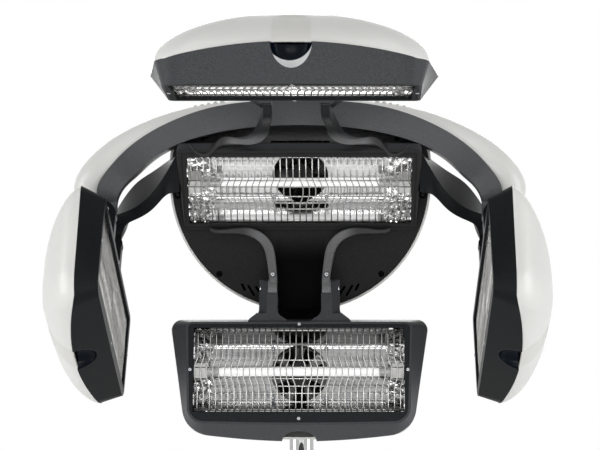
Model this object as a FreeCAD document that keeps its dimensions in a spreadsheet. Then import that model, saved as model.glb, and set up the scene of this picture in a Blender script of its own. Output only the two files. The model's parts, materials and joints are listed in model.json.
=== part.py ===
import FreeCAD, Part
import math
import os

import Sketcher
from FreeCAD import Matrix, Placement, Rotation, Vector

# Salon infrared processor: a round rear housing on a chrome stem carries a rear heater and four
# hinged heater heads (top, lower, left and right) that surround a client's head.
#
# Two frames are used. The part's own frame has +X to the operator's right, +Y to the rear, +Z up
# and its origin on the stem's axis at the lower end. The housing frame is parallel to it and lies
# in the middle of the space between the heads. Each heater has a local frame: x across its width,
# y from its hinged edge to its free edge, z from the heating side to the back.

doc = FreeCAD.newDocument("hair_color_processor")
sheet = doc.addObject("Spreadsheet::Sheet", "sizes")

# Driving dimensions in millimetres and degrees.
SIZES = [
    ("stem_setback", 110, "stem axis behind the housing frame"),
    ("stem_drop", 325, "lower end of the stem below the housing frame"),
    ("stem_dia", 34, "outer diameter of the chrome tube"),
    ("stem_wall", 2, "wall of the chrome tube"),
    ("stem_slot_wide", 7.6, "slot that keys the tube in its stand"),
    ("stem_slot_long", 26, "length of that slot from the lower end"),
    ("stem_end", 34, "upper end of the tube below the tilt axis"),
    ("plug_long", 30, "plug of the knuckle inside the tube"),
    ("tilt_drop", 105, "tilt axis below the housing frame"),
    ("tilt_eye_dia", 36, "eye of the tilt knuckle"),
    ("tilt_eye_wide", 38, "width of that eye along the axis"),
    ("tilt_pin_dia", 10, "tilt pin"),
    ("wall", 3, "moulded wall"),
    ("running_gap", 0.3, "side gap between parts that turn on each other"),
    ("pin_fit", 0.08, "radial running fit of a pin"),
    ("rim_wide", 300, "head rim at the hinged edge"),
    ("rim_narrow", 292, "head rim at the free edge"),
    ("rim_reach", 134, "head rim from the hinged to the free edge"),
    ("rim_bow", 3, "bulge of the free edge"),
    ("rim_back_round", 8, "rim corners at the hinged edge"),
    ("rim_front_round", 22, "rim corners at the free edge"),
    ("part_wide", 348, "parting outline at the hinged edge"),
    ("part_narrow", 300, "parting outline at the free edge"),
    ("part_back", 7, "flare of the hinged edge at the parting line"),
    ("part_front", 11, "flare of the free edge at the parting line"),
    ("part_depth", 28, "casing depth at the parting line"),
    ("part_arch", 17, "rise of the parting line in the middle of the free edge"),
    ("part_arch_wide", 280, "width of that arch"),
    ("part_arch_lead", 9, "highest point of that arch beyond the flared free edge"),
    ("part_front_round", 36, "parting corners at the free edge"),
    ("part_back_round", 14, "parting corners at the hinged edge"),
    ("dome_rise", 61, "rise of the white shell above the parting line"),
    ("dome_bow", 12.9, "bulge of the shell's free edge"),
    ("dome_round", 64, "corner radius of the shell towards its crown"),
    ("notch_half", 23, "half width of the finger notch"),
    ("notch_drop", 30, "height of the finger notch"),
    ("notch_deep", 15, "depth of the finger notch"),
    ("dimple_wide", 17, "half width of the thumb dimple in the shell"),
    ("dimple_long", 14, "half length of that dimple"),
    ("dimple_deep", 4, "depth of that dimple"),
    ("dimple_angle", 57, "place of the dimple on the crown, in degrees from the parting line"),
    ("bezel_thick", 3, "grille bezel plate"),
    ("open_wide", 278, "head grille opening, width"),
    ("open_start", 8, "head grille opening, margin at the hinged edge"),
    ("open_high", 111, "head grille opening, height"),
    ("lip_margin", 3, "opening of the lip behind the bezel beyond the grille opening"),
    ("wire_dia", 1.4, "grille wire"),
    ("wire_pitch", 8.7, "pitch of the upright grille wires"),
    ("wire_tail", 2.5, "wire ends behind the bezel"),
    ("wire_weld", 0.2, "depth to which crossing wires are welded together"),
    ("wire_bow", 4.5, "sideways bow of the upright wires past the lamp"),
    ("trough_depth", 43, "back of the reflector trough behind the rim"),
    ("trough_slope", 15, "inward lean of the trough's long walls"),
    ("trough_round", 10, "bend between trough wall and floor"),
    ("sheet_thick", 1, "reflector sheet"),
    ("flange_land", 1.5, "reflector flange beyond the lip's opening"),
    ("flange_round", 12, "corners of the reflector flange"),
    ("lamp_depth", 24, "lamp axis behind the rim"),
    ("lamp_dia", 12, "quartz lamp tube"),
    ("lamp_cap_dia", 14, "ceramic cap of the lamp"),
    ("lamp_cap_long", 14, "length of that cap"),
    ("socket_wide", 20, "lamp socket across the trough"),
    ("socket_high", 24, "lamp socket, depth direction"),
    ("socket_long", 15, "lamp socket along the lamp"),
    ("socket_bore_long", 8, "depth of the socket bore"),
    ("fan_side", 80, "fan frame"),
    ("fan_thick", 25, "fan frame thickness"),
    ("fan_bore", 76, "fan frame bore"),
    ("fan_hub_dia", 32, "rotor hub"),
    ("fan_hub_deep", 18, "rotor hub depth"),
    ("fan_tip_gap", 2.4, "gap between blade tips and bore"),
    ("fan_blade_deep", 13, "blade depth along the axis"),
    ("fan_blade_lean", 9, "half sweep of a blade around the axis"),
    ("fan_blade_thick", 1.4, "blade thickness"),
    ("fan_blades", 7, "number of blades"),
    ("fan_strut", 4, "fan frame strut"),
    ("fan_back_thick", 2.5, "struts and motor plate"),
    ("fan_shaft_dia", 4, "rotor shaft"),
    ("fan_hole", 4.3, "screw holes of the fan frame"),
    ("fan_hole_pitch", 71.5, "spacing of the fan's screw holes"),
    ("hinge_reach", 47, "hinge axis beyond the rim's hinged edge"),
    ("hinge_depth", 15, "hinge axis behind the rim plane"),
    ("hinge_spread", 72, "distance between the two brackets"),
    ("knuckle_wide", 12, "bracket knuckle along the hinge axis"),
    ("knuckle_dia", 26, "bracket knuckle"),
    ("cheek_wide", 11.7, "hinge cheek of a head"),
    ("cheek_dia", 24, "rounded end of that cheek"),
    ("hinge_pin_dia", 8, "hinge pin"),
    ("rear_wide", 326, "rear heater frame, width"),
    ("rear_narrow", 314, "rear heater frame at its lower edge"),
    ("rear_high", 125, "rear heater frame, height"),
    ("rear_round", 6, "corners of the rear frame"),
    ("rear_open_wide", 300, "rear grille opening, width"),
    ("rear_open_start", 11, "rear grille opening below the frame's top"),
    ("rear_open_high", 103, "rear grille opening, height"),
    ("rear_tilt", 31, "rear heater, downward lean in degrees"),
    ("lower_tilt", 12.5, "lower head, upward lean in degrees"),
    ("top_tilt", 3.8, "top head, drop towards the rear in degrees"),
    ("side_slope", 34, "side heads, slope of the long axis in degrees"),
    ("side_spacing", 482, "distance between the rim planes of the side heads"),
    ("panel_radius", 174, "lower edge of the black front panel"),
    ("panel_rise", 60, "centre of that edge above the housing frame"),
    ("panel_front", 34, "front of the panel behind the housing frame"),
    ("panel_thick", 6, "front panel plate"),
    ("panel_shoulder", 136, "shoulder of the housing above the housing frame"),
    ("panel_crown", 164, "top of the housing above the housing frame"),
    ("shoulder_round", 60, "round of that shoulder"),
    ("crown_round", 500, "round of that top"),
    ("recess_dia", 8.4, "screw recess of the front panel"),
    ("recess_deep", 4, "depth of that recess"),
    ("vent_wide", 3, "vent slot of the front panel"),
    ("cove_radius", 62, "hollow top of the rear heater's pod"),
    ("cove_sink", 5, "depth of that hollow"),
    ("cove_behind", 42, "deepest line of that hollow behind the frame"),
    ("groove_wide", 1.4, "groove in the rear frame"),
    ("groove_deep", 0.8, "depth of that groove"),
    ("groove_land", 4.5, "frame between its opening and the groove"),
    ("cover_margin", 4, "rear cover beyond the front panel"),
    ("cover_depth", 118, "depth of the rear cover"),
    ("edge_soft", 1.2, "broken long edges of the brackets"),
    ("strand_step", 0.6, "step from a knuckle's end face to its strand"),
    ("rib_depth", 19.5, "bracket at its knuckle, front to back"),
    ("strand_wide", 24, "arm at its knuckle, across the hinge axis"),
    ("web_wide", 15, "web beside an upper bracket's hinge"),
    ("web_long", 62, "length of that web"),
    ("web_thick", 7, "thickness of that web"),
    ("boss_dia", 8.6, "counterbore of a bracket's screw"),
    ("boss_deep", 1.5, "depth of that counterbore"),
    ("boss_above", 18, "counterbore above the hinge axis"),
    ("rib_round", 3.2, "vent ribs of the hood"),
    ("rib_pitch", 9, "spacing of the vent ribs"),
    ("rib_count", 5, "vent ribs on each side"),
    ("neck_wide", 64, "neck between the lower brackets"),
    ("button_dia", 14, "push buttons"),
    ("button_travel", 1, "travel of a button"),
    ("button_pitch", 24, "spacing of the buttons"),
    ("button_proud", 2.5, "button above the control panel"),
    ("control_wide", 110, "control panel"),
    ("control_high", 62, "control panel"),
    ("control_thick", 6, "control panel"),
    ("pocket_floor", 0.8, "panel left under the buttons and the switch"),
    ("switch_wide", 14, "rocker switch"),
    ("switch_high", 19, "rocker switch"),
    ("switch_throw", 7, "lean of the rocker to each side in degrees"),
    ("switch_pin_dia", 2.4, "pivot stubs of the rocker"),
]


class Size:
    """A length that knows its number and the sheet expression that gives it."""

    def __init__(self, text, number):
        self.text = text
        self.number = float(number)

    def __float__(self):
        return self.number

    def __add__(self, other):
        return Size(f"({self.text} + {as_text(other)})", self.number + float(other))

    def __sub__(self, other):
        return Size(f"({self.text} - {as_text(other)})", self.number - float(other))

    def __mul__(self, factor):
        return Size(f"({self.text} * {as_text(factor)})", self.number * float(factor))

    def __truediv__(self, divisor):
        return Size(f"({self.text} / {as_text(divisor)})", self.number / float(divisor))

    def __neg__(self):
        return Size(f"(0 - {self.text})", -self.number)

    __radd__ = __add__
    __rmul__ = __mul__


def as_text(value):
    return value.text if isinstance(value, Size) else repr(float(value))


class SizeSheet:
    """The sheet's cells as attributes, each a Size bound to its alias."""

    def __init__(self, rows):
        for row, (alias, number, note) in enumerate(rows, start=1):
            sheet.set(f"A{row}", note)
            sheet.set(f"B{row}", str(number))
            sheet.setAlias(f"B{row}", alias)
        doc.recompute()
        for alias, _, _ in rows:
            setattr(self, alias, Size(f"sizes.{alias}", sheet.get(alias)))


d = SizeSheet(SIZES)
ZERO = Size("0", 0)

# --------------------------------------------------------------------------- frames


def frame_placement(across, along, origin):
    """Placement whose x axis is across and whose y axis is along."""
    back = across.cross(along)
    return Placement(Matrix(
        across.x, along.x, back.x, origin.x,
        across.y, along.y, back.y, origin.y,
        across.z, along.z, back.z, origin.z,
        0, 0, 0, 1))


HOUSING = Placement(Vector(0, -float(d.stem_setback), float(d.stem_drop)), Rotation())


def lean(angle):
    radians = math.radians(float(angle))
    return math.sin(radians), math.cos(radians)


# Middle of each rim's hinged edge in the housing frame.
LOWER_SEAT = Vector(0, -26, -128)
TOP_SEAT = Vector(0, -240, 148)
SIDE_SEAT_BACK = -10
SIDE_SEAT_RISE = -47
REAR_SEAT = Vector(0, -33, 99)


def heater_frames():
    low_sin, low_cos = lean(d.lower_tilt)
    top_sin, top_cos = lean(d.top_tilt)
    side_sin, side_cos = lean(d.side_slope)
    rear_sin, rear_cos = lean(d.rear_tilt)
    half = float(d.side_spacing) / 2
    down = Vector(0, -side_sin, -side_cos)
    return {
        "lower": frame_placement(Vector(1, 0, 0), Vector(0, -low_sin, -low_cos), LOWER_SEAT),
        "top": frame_placement(Vector(-1, 0, 0), Vector(0, -top_cos, top_sin), TOP_SEAT),
        "left": frame_placement(Vector(0, side_cos, -side_sin), down,
                                Vector(-half, SIDE_SEAT_BACK, SIDE_SEAT_RISE)),
        "right": frame_placement(Vector(0, -side_cos, side_sin), down,
                                 Vector(half, SIDE_SEAT_BACK, SIDE_SEAT_RISE)),
        "rear": frame_placement(Vector(1, 0, 0), Vector(0, rear_sin, -rear_cos), REAR_SEAT),
    }


FRAMES = heater_frames()
HEADS = ["top", "lower", "left", "right"]

# --------------------------------------------------------------------------- modelling helpers

pieces = []


def place(obj, placement):
    obj.Placement = HOUSING.multiply(placement)
    pieces.append(obj)
    return obj


def feature(label, shape, placement=Placement()):
    """A piece whose form comes straight from Part's own functions."""
    obj = doc.addObject("Part::Feature", label)
    obj.Label = label
    obj.Shape = shape
    return place(obj, placement)


def new_body(label):
    body = doc.addObject("PartDesign::Body", label)
    body.Label = label
    return body


def origin_item(body, role):
    return next(item for item in body.Origin.OriginFeatures if item.Role == role)


def new_sketch(body, role, offset=ZERO):
    sketch = body.newObject("Sketcher::SketchObject", "Sketch")
    sketch.AttachmentSupport = [(origin_item(body, role), "")]
    sketch.MapMode = "FlatFace"
    sketch.setExpression("AttachmentOffset.Base.z", offset.text)
    return sketch


def bind_constraint(sketch, constraint, size):
    index = sketch.addConstraint(constraint)
    sketch.setExpression(f"Constraints[{index}]", size.text)


def outline(sketch, corners):
    """Closed run of lines whose corners follow the sheet."""
    first = sketch.GeometryCount
    count = len(corners)
    points = [Vector(float(x), float(y), 0) for x, y in corners]
    for i in range(count):
        sketch.addGeometry(Part.LineSegment(points[i], points[(i + 1) % count]))
    for i, (x, y) in enumerate(corners):
        line = first + i
        following = first + (i + 1) % count
        sketch.addConstraint(Sketcher.Constraint("Coincident", line, 2, following, 1))
        bind_constraint(sketch, Sketcher.Constraint("DistanceX", -1, 1, line, 1, float(x)), x)
        bind_constraint(sketch, Sketcher.Constraint("DistanceY", -1, 1, line, 1, float(y)), y)


def rectangle(sketch, x_low, x_high, y_low, y_high):
    outline(sketch, [(x_low, y_low), (x_high, y_low), (x_high, y_high), (x_low, y_high)])


def circle(sketch, x, y, diameter):
    radius = float(diameter) / 2
    centre = Vector(float(x), float(y), 0)
    ring = sketch.addGeometry(Part.Circle(centre, Vector(0, 0, 1), radius))
    bind_constraint(sketch, Sketcher.Constraint("DistanceX", -1, 1, ring, 3, float(x)), x)
    bind_constraint(sketch, Sketcher.Constraint("DistanceY", -1, 1, ring, 3, float(y)), y)
    bind_constraint(sketch, Sketcher.Constraint("Diameter", ring, float(diameter)), diameter)


def extrude(body, kind, sketch, length, reverse=False, both=False):
    tool = body.newObject(f"PartDesign::{kind}", kind)
    tool.Profile = sketch
    tool.setExpression("Length", length.text)
    tool.Reversed = reverse
    if both:
        tool.SideType = "Symmetric"
    body.Tip = tool
    return tool


def revolve(body, sketch, axis):
    tool = body.newObject("PartDesign::Revolution", "Revolution")
    tool.Profile = sketch
    tool.ReferenceAxis = (sketch, [axis])
    tool.Angle = 360
    body.Tip = tool
    return tool


def polar(body, original, axis_role, count):
    pattern = body.newObject("PartDesign::PolarPattern", "PolarPattern")
    pattern.Originals = [original]
    pattern.Axis = (origin_item(body, axis_role), [""])
    pattern.Angle = 360
    pattern.setExpression("Occurrences", count.text)
    body.Tip = pattern
    return pattern


def rounded_wire(corners, radii):
    """Closed wire of straight runs joined by tangent arcs at its corners."""
    count = len(corners)
    starts = []
    middles = []
    ends = []
    for i in range(count):
        here = corners[i]
        back = (corners[i - 1] - here).normalize()
        ahead = (corners[(i + 1) % count] - here).normalize()
        half = back.getAngle(ahead) / 2
        reach = radii[i] / math.tan(half)
        inward = (back + ahead).normalize()
        middles.append(here + inward * (radii[i] / math.sin(half) - radii[i]))
        starts.append(here + back * reach)
        ends.append(here + ahead * reach)
    edges = []
    for i in range(count):
        edges.append(Part.Arc(starts[i], middles[i], ends[i]).toShape())
        edges.append(Part.LineSegment(ends[i], starts[(i + 1) % count]).toShape())
    return Part.Wire(edges)


def plate(wire, direction):
    return Part.Face(wire).extrude(direction)


def box(x_low, x_high, y_low, y_high, z_low, z_high):
    size = Vector(x_high - x_low, y_high - y_low, z_high - z_low)
    return Part.makeBox(size.x, size.y, size.z, Vector(x_low, y_low, z_low))


def rod(start, end, radius):
    return Part.makeCylinder(radius, (end - start).Length, start, end - start)


def ellipsoid(centre, radii, turn_about_x):
    ball = Part.makeSphere(1)
    stretch = Matrix()
    stretch.scale(radii.x, radii.y, radii.z)
    form = ball.transformGeometry(stretch)
    form.Placement = Placement(centre, Rotation(Vector(1, 0, 0), turn_about_x))
    return form


def bar(stations):
    """Smooth bar through four-cornered sections, each a centre and two half widths."""
    sections = []
    for centre, side, depth in stations:
        corners = [centre - side - depth, centre + side - depth,
                   centre + side + depth, centre - side + depth]
        sections.append(Part.makePolygon(corners + corners[:1]))
    return Part.makeLoft(sections, True, False)


def break_long_edges(shape):
    """Chamfers the four edges that run along a bar."""
    edges = sorted(shape.Edges, key=lambda edge: edge.Length)
    return shape.makeChamfer(float(d.edge_soft), edges[-4:])


def largest(shape):
    """The biggest solid of a shape, without the crumbs a cut can leave."""
    return max(shape.Solids, key=lambda solid: solid.Volume)


def mirror_x(vector):
    return Vector(-vector.x, vector.y, vector.z)


# --------------------------------------------------------------------------- heater heads


# Share of the free edge's straight run that its bow takes up.
BOW_SHARE = 0.7


def head_outline(half_back, half_front, back, front, bow, depth, round_back, round_front):
    """Trapezium with a wide hinged edge, soft free corners and a bowed free edge."""
    corners = [Vector(-half_back, back, depth), Vector(half_back, back, depth),
               Vector(half_front, front, depth), Vector(0, front + bow, depth),
               Vector(-half_front, front, depth)]
    bow_reach = BOW_SHARE * (half_front - round_front)
    bow_round = bow_reach * half_front / bow
    radii = [round_back, round_back, round_front, bow_round, round_front]
    return rounded_wire(corners, radii)


def casing_outline(depth, inset):
    """Outline of the casing at a depth behind the rim, moved inward by inset."""
    share = depth / float(d.part_depth)

    def flare(rim, part):
        return float(rim) + (float(part) - float(rim)) * share

    return head_outline(
        flare(d.rim_wide, d.part_wide) / 2 - inset,
        flare(d.rim_narrow, d.part_narrow) / 2 - inset,
        inset - float(d.part_back) * share,
        float(d.rim_reach) + float(d.part_front) * share - inset,
        float(d.rim_bow), depth,
        flare(d.rim_back_round, d.part_back_round) - inset,
        flare(d.rim_front_round, d.part_front_round) - inset)


def dome_outline(angle, inset):
    """Outline of the white shell where its elliptical crown has risen by angle."""
    spread = math.cos(math.radians(angle))
    depth = float(d.part_depth) + (float(d.dome_rise) - inset) * math.sin(math.radians(angle))
    middle = float(d.rim_reach + d.part_front - d.part_back) / 2
    reach = (float(d.rim_reach + d.part_front + d.part_back) / 2 - inset) * spread

    def corner(radius):
        soft = math.sin(math.radians(angle))
        return (float(radius) + float(d.dome_round - radius) * soft - inset) * spread

    return head_outline(
        (float(d.part_wide) / 2 - inset) * spread,
        (float(d.part_narrow) / 2 - inset) * spread,
        middle - reach, middle + reach, float(d.dome_bow) * spread, depth,
        corner(d.part_back_round), corner(d.part_front_round))


DOME_ANGLES = [0, 14, 28, 42, 56, 70, 82]
ABOVE = 60
FORM_DEPTH = 50


def below_parting():
    """Space under the parting line, which is flat at the hinge and arched at the free edge."""
    half = float(d.part_arch_wide) / 2
    wide = float(d.part_wide)
    level = float(d.part_depth)
    hinged = -ABOVE
    peak = float(d.rim_reach + d.part_front + d.part_arch_lead)
    free = peak + ABOVE
    rise = float(d.part_arch) * (free - hinged) / (peak - hinged)

    def profile(y, arch):
        floor = -1
        points = [Vector(-half, y, level), Vector(-wide, y, level), Vector(-wide, y, floor),
                  Vector(wide, y, floor), Vector(wide, y, level), Vector(half, y, level)]
        edges = [Part.makeLine(points[i], points[i + 1]) for i in range(5)]
        if arch:
            crest = Vector(0, y, level + arch)
            edges.append(Part.Arc(points[5], crest, points[0]).toShape())
        else:
            edges.append(Part.makeLine(points[5], points[0]))
        return Part.Wire(edges)

    return Part.makeLoft([profile(hinged, 0), profile(free, rise)], True, True)


def notch_form(extra):
    """Finger notch at the parting line in the middle of the free edge."""
    rise = float(d.part_depth + d.part_arch)
    run = float(d.part_front) * rise / float(d.part_depth)
    edge = float(d.rim_reach + d.rim_bow) + run
    radii = Vector(float(d.notch_half) + extra, float(d.notch_deep) + extra,
                   float(d.notch_drop) + extra)
    return ellipsoid(Vector(0, edge, rise), radii, -math.degrees(math.atan2(run, rise)))


# Foot of an upright: how far it spreads and how its flare rounds into the casing's wall.
FOOT_SPREAD = 16
FOOT_FLARE = 13
FOOT_HIGH = 3
FOOT_ROUND = 5
FLARE_HIGH = 11
FLARE_ROUND = 11
SHARP = 0.5
CHEEK_SINK = 9


def upright_pair():
    """Two uprights that rise from the casing's hinged wall and end in hinge cheeks."""
    inner = float(d.hinge_spread - d.knuckle_wide) / 2 - 1
    step = float(d.hinge_spread + d.knuckle_wide) / 2 + float(d.running_gap)
    outer = step + float(d.cheek_wide)
    axis = -float(d.hinge_reach)
    depth = float(d.hinge_depth)
    half = float(d.cheek_dia) / 2
    clear = float(d.knuckle_dia) / 2 + 1
    root = float(d.wall)
    shoulder = axis + clear * 0.6
    low = Vector(0, 0, depth - half)
    pair = []
    for side in (-1, 1):
        corners = [Vector(side * (inner - FOOT_SPREAD), root, 0),
                   Vector(side * (inner - FOOT_FLARE), -FOOT_HIGH, 0),
                   Vector(side * inner, -FLARE_HIGH, 0), Vector(side * inner, shoulder, 0),
                   Vector(side * step, shoulder, 0), Vector(side * step, axis, 0),
                   Vector(side * outer, axis, 0), Vector(side * outer, -FLARE_HIGH - 3, 0),
                   Vector(side * (outer + FOOT_FLARE), -FOOT_HIGH - 1, 0),
                   Vector(side * (outer + FOOT_SPREAD), root, 0)]
        radii = [SHARP, FOOT_ROUND, FLARE_ROUND, SHARP, SHARP, SHARP, SHARP, FLARE_ROUND,
                 FOOT_ROUND, SHARP]
        stem = plate(rounded_wire([low + corner for corner in corners], radii),
                     Vector(0, 0, 2 * half))
        eye = rod(Vector(side * step, axis, depth), Vector(side * outer, axis, depth), half)
        room = rod(Vector(side * (inner - CHEEK_SINK), axis, depth),
                   Vector(side * step, axis, depth), clear)
        bore = rod(Vector(side * (step - 1), axis, depth),
                   Vector(side * (outer + 1), axis, depth),
                   float(d.hinge_pin_dia) / 2 + float(d.pin_fit))
        slope = Part.makePolygon([Vector(side * step, axis - 20, depth - half - 1),
                                  Vector(side * (outer + 2), axis - 20, depth - half - 1),
                                  Vector(side * (outer + 2), axis - 20, depth),
                                  Vector(side * step, axis - 20, depth - half - 1)])
        flank = Part.Face(slope).extrude(Vector(0, -axis + 8, 0))
        pair.append(stem.fuse(eye).cut(room).cut(bore).cut(flank))
    return pair[0].fuse(pair[1])


def opening_plate(half_wide, start, high, margin, depth_low, depth_high):
    return box(-half_wide - margin, half_wide + margin, start - margin, start + high + margin,
               depth_low, depth_high)


LIP_DEPTH = float(d.bezel_thick + d.wire_dia * 2)


def head_casing():
    outer = Part.makeLoft([casing_outline(0, 0), casing_outline(FORM_DEPTH, 0)], True, True)
    wall = float(d.wall)
    cavity = Part.makeLoft([casing_outline(LIP_DEPTH, wall), casing_outline(FORM_DEPTH + 1, wall)],
                           True, True)
    seat = plate(casing_outline(0, wall), Vector(0, 0, float(d.bezel_thick)))
    lip_hole = opening_plate(float(d.open_wide) / 2, float(d.open_start), float(d.open_high),
                             float(d.lip_margin), -1, LIP_DEPTH + 1)
    below = below_parting()
    hollow = outer.cut(cavity).cut(seat).cut(lip_hole).common(below)
    cup = notch_form(wall).common(outer).common(below)
    uprights = upright_pair().cut(cavity)
    return hollow.fuse(cup).fuse(uprights).cut(notch_form(0)).removeSplitter()


def dimple_form(extra):
    """Thumb dimple in the shell's crown, in line with the finger notch."""
    angle = math.radians(float(d.dimple_angle))
    middle = float(d.rim_reach + d.part_front - d.part_back) / 2
    reach = float(d.rim_reach + d.part_front + d.part_back) / 2 + float(d.dome_bow)
    rise = float(d.dome_rise)
    centre = Vector(0, middle + reach * math.cos(angle),
                    float(d.part_depth) + rise * math.sin(angle))
    slope = math.degrees(math.atan2(rise * math.cos(angle), reach * math.sin(angle)))
    radii = Vector(float(d.dimple_wide) + extra, float(d.dimple_long) + extra,
                   float(d.dimple_deep) + extra)
    return ellipsoid(centre, radii, -slope)


def head_shell():
    wall = float(d.wall)
    dome = Part.makeLoft([dome_outline(angle, 0) for angle in DOME_ANGLES], True, False)
    inner = Part.makeLoft([dome_outline(angle, wall) for angle in DOME_ANGLES], True, False)
    inner = inner.fuse(plate(dome_outline(0, wall), Vector(0, 0, -2)))
    cup = dimple_form(wall).common(dome)
    return dome.cut(inner).fuse(cup).cut(dimple_form(0)).cut(below_parting())


def head_bezel():
    face = plate(casing_outline(0, float(d.wall)), Vector(0, 0, float(d.bezel_thick)))
    hole = opening_plate(float(d.open_wide) / 2, float(d.open_start), float(d.open_high), 0,
                         -1, float(d.bezel_thick) + 1)
    return face.cut(hole)


# Cross wires between the outer two, from the lamp's axis towards the free edge, the margin of
# the outer two, and the bends of the upright wires as (distance from the lamp, share of the bow).
CROSS_WIRES = [-13, -3.5, 11.5, 21.5, 31]
CROSS_MARGIN = 3
WIRE_BENDS = [(-16, 0), (-6, 1), (10, 1), (22, 0)]


def grille(half_wide, start, high):
    """Upright wires that bow past the lamp, on cross wires behind them."""
    wire = float(d.wire_dia)
    tail = float(d.wire_tail)
    front = float(d.bezel_thick)
    lamp = start + high / 2
    top = start - tail
    bottom = start + high + tail
    count = int(2 * half_wide / float(d.wire_pitch))
    pitch = float(d.wire_pitch)
    bends = [(lamp + offset, share) for offset, share in WIRE_BENDS]
    turns = [(top, 0)] + bends + [(bottom, 0)]
    wires = []
    for i in range(count):
        across = (i - (count - 1) / 2) * pitch
        bow = math.copysign(float(d.wire_bow), across)
        near = [Vector(across + bow * share - wire / 2, y, front) for y, share in turns]
        far = [Vector(across + bow * share + wire / 2, y, front) for y, share in reversed(turns)]
        strand = Part.Face(Part.makePolygon(near + far + near[:1]))
        wires.append(strand.extrude(Vector(0, 0, wire)))
    reach = half_wide + tail
    rows = [lamp + offset for offset in CROSS_WIRES]
    rows += [start + CROSS_MARGIN, start + high - CROSS_MARGIN]
    weld = front + wire - float(d.wire_weld)
    for y in rows:
        wires.append(box(-reach, reach, y - wire / 2, y + wire / 2, weld, weld + wire))
    return wires[0].multiFuse(wires[1:])


def trough_solid(half_wide, start, high, inset, mouth):
    """Solid form of the reflector trough between its mouth and its floor."""
    floor = float(d.trough_depth) - inset
    slope = float(d.trough_slope)
    low = start + inset
    top = start + high - inset
    corners = [Vector(-half_wide + inset, low, mouth), Vector(-half_wide + inset, top, mouth),
               Vector(-half_wide + inset, top - slope, floor),
               Vector(-half_wide + inset, low + slope, floor)]
    bend = float(d.trough_round) - inset
    radii = [SHARP, SHARP, bend, bend]
    return plate(rounded_wire(corners, radii), Vector(2 * (half_wide - inset), 0, 0))


def reflector(half_wide, start, high, fan_y):
    sheet_wall = float(d.sheet_thick)
    trough = trough_solid(half_wide, start, high, 0, LIP_DEPTH)
    inner = trough_solid(half_wide, start, high, sheet_wall, LIP_DEPTH - 1)
    margin = float(d.lip_margin) + float(d.flange_land)
    low = start - margin
    top = start + high + margin
    corners = [Vector(-half_wide - margin, low, LIP_DEPTH),
               Vector(half_wide + margin, low, LIP_DEPTH),
               Vector(half_wide + margin, top, LIP_DEPTH),
               Vector(-half_wide - margin, top, LIP_DEPTH)]
    flange = plate(rounded_wire(corners, [float(d.flange_round)] * 4), Vector(0, 0, sheet_wall))
    floor = float(d.trough_depth)
    fan_hole = rod(Vector(0, fan_y, floor / 2), Vector(0, fan_y, floor + 1), float(d.fan_bore) / 2)
    return trough.fuse(flange).cut(inner).cut(fan_hole)


def lamp_body(label, half_wide, lamp_y):
    """Quartz tube with ceramic caps, turned about its own length."""
    body = new_body(label)
    sketch = new_sketch(body, "XY_Plane")
    end = half_wide - d.sheet_thick - d.socket_long + d.socket_bore_long
    cap = end - d.lamp_cap_long
    tube = d.lamp_dia / 2
    thick = d.lamp_cap_dia / 2
    outline(sketch, [(-end, ZERO), (end, ZERO), (end, thick), (cap, thick), (cap, tube),
                     (-cap, tube), (-cap, thick), (-end, thick)])
    revolve(body, sketch, "H_Axis")
    return body, Vector(0, lamp_y, float(d.lamp_depth))


def socket_body(label, half_wide):
    """Two ceramic sockets, one against each end wall of the trough."""
    body = new_body(label)
    wide = d.socket_wide / 2
    high = d.socket_high / 2
    outer = half_wide - d.sheet_thick
    for reverse in (False, True):
        face = outer - d.socket_long
        sketch = new_sketch(body, "YZ_Plane", -face if reverse else face)
        rectangle(sketch, -wide, wide, -high, high)
        extrude(body, "Pad", sketch, d.socket_long, reverse)
        bore = new_sketch(body, "YZ_Plane", -face if reverse else face)
        circle(bore, ZERO, ZERO, d.lamp_cap_dia)
        extrude(body, "Pocket", bore, d.socket_bore_long, not reverse)
    return body


def fan_frame_body(label):
    """Square fan frame with its motor plate on four struts and the rotor's shaft."""
    body = new_body(label)
    half = d.fan_side / 2
    base = new_sketch(body, "XY_Plane")
    rectangle(base, -half, half, -half, half)
    circle(base, ZERO, ZERO, d.fan_bore)
    extrude(body, "Pad", base, d.fan_thick)
    holes = new_sketch(body, "XY_Plane")
    hole = d.fan_hole_pitch / 2
    for x in (-hole, hole):
        for y in (-hole, hole):
            circle(holes, x, y, d.fan_hole)
    extrude(body, "Pocket", holes, d.fan_thick, True)
    back = d.fan_thick - d.fan_back_thick
    hub = new_sketch(body, "XY_Plane", back)
    circle(hub, ZERO, ZERO, d.fan_hub_dia)
    strut = new_sketch(body, "XY_Plane", back)
    rectangle(strut, d.fan_hub_dia / 2 - 1, d.fan_bore / 2 + 0.5, -d.fan_strut / 2, d.fan_strut / 2)
    spoke = extrude(body, "Pad", strut, d.fan_back_thick)
    polar(body, spoke, "Z_Axis", Size("4", 4))
    extrude(body, "Pad", hub, d.fan_back_thick)
    shaft = new_sketch(body, "XY_Plane", back)
    circle(shaft, ZERO, ZERO, d.fan_shaft_dia)
    extrude(body, "Pad", shaft, d.fan_hub_deep - 2, True)
    return body


BLADE_SINK = 0.6
BLADE_ROOT_SHARE = 0.45


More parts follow.
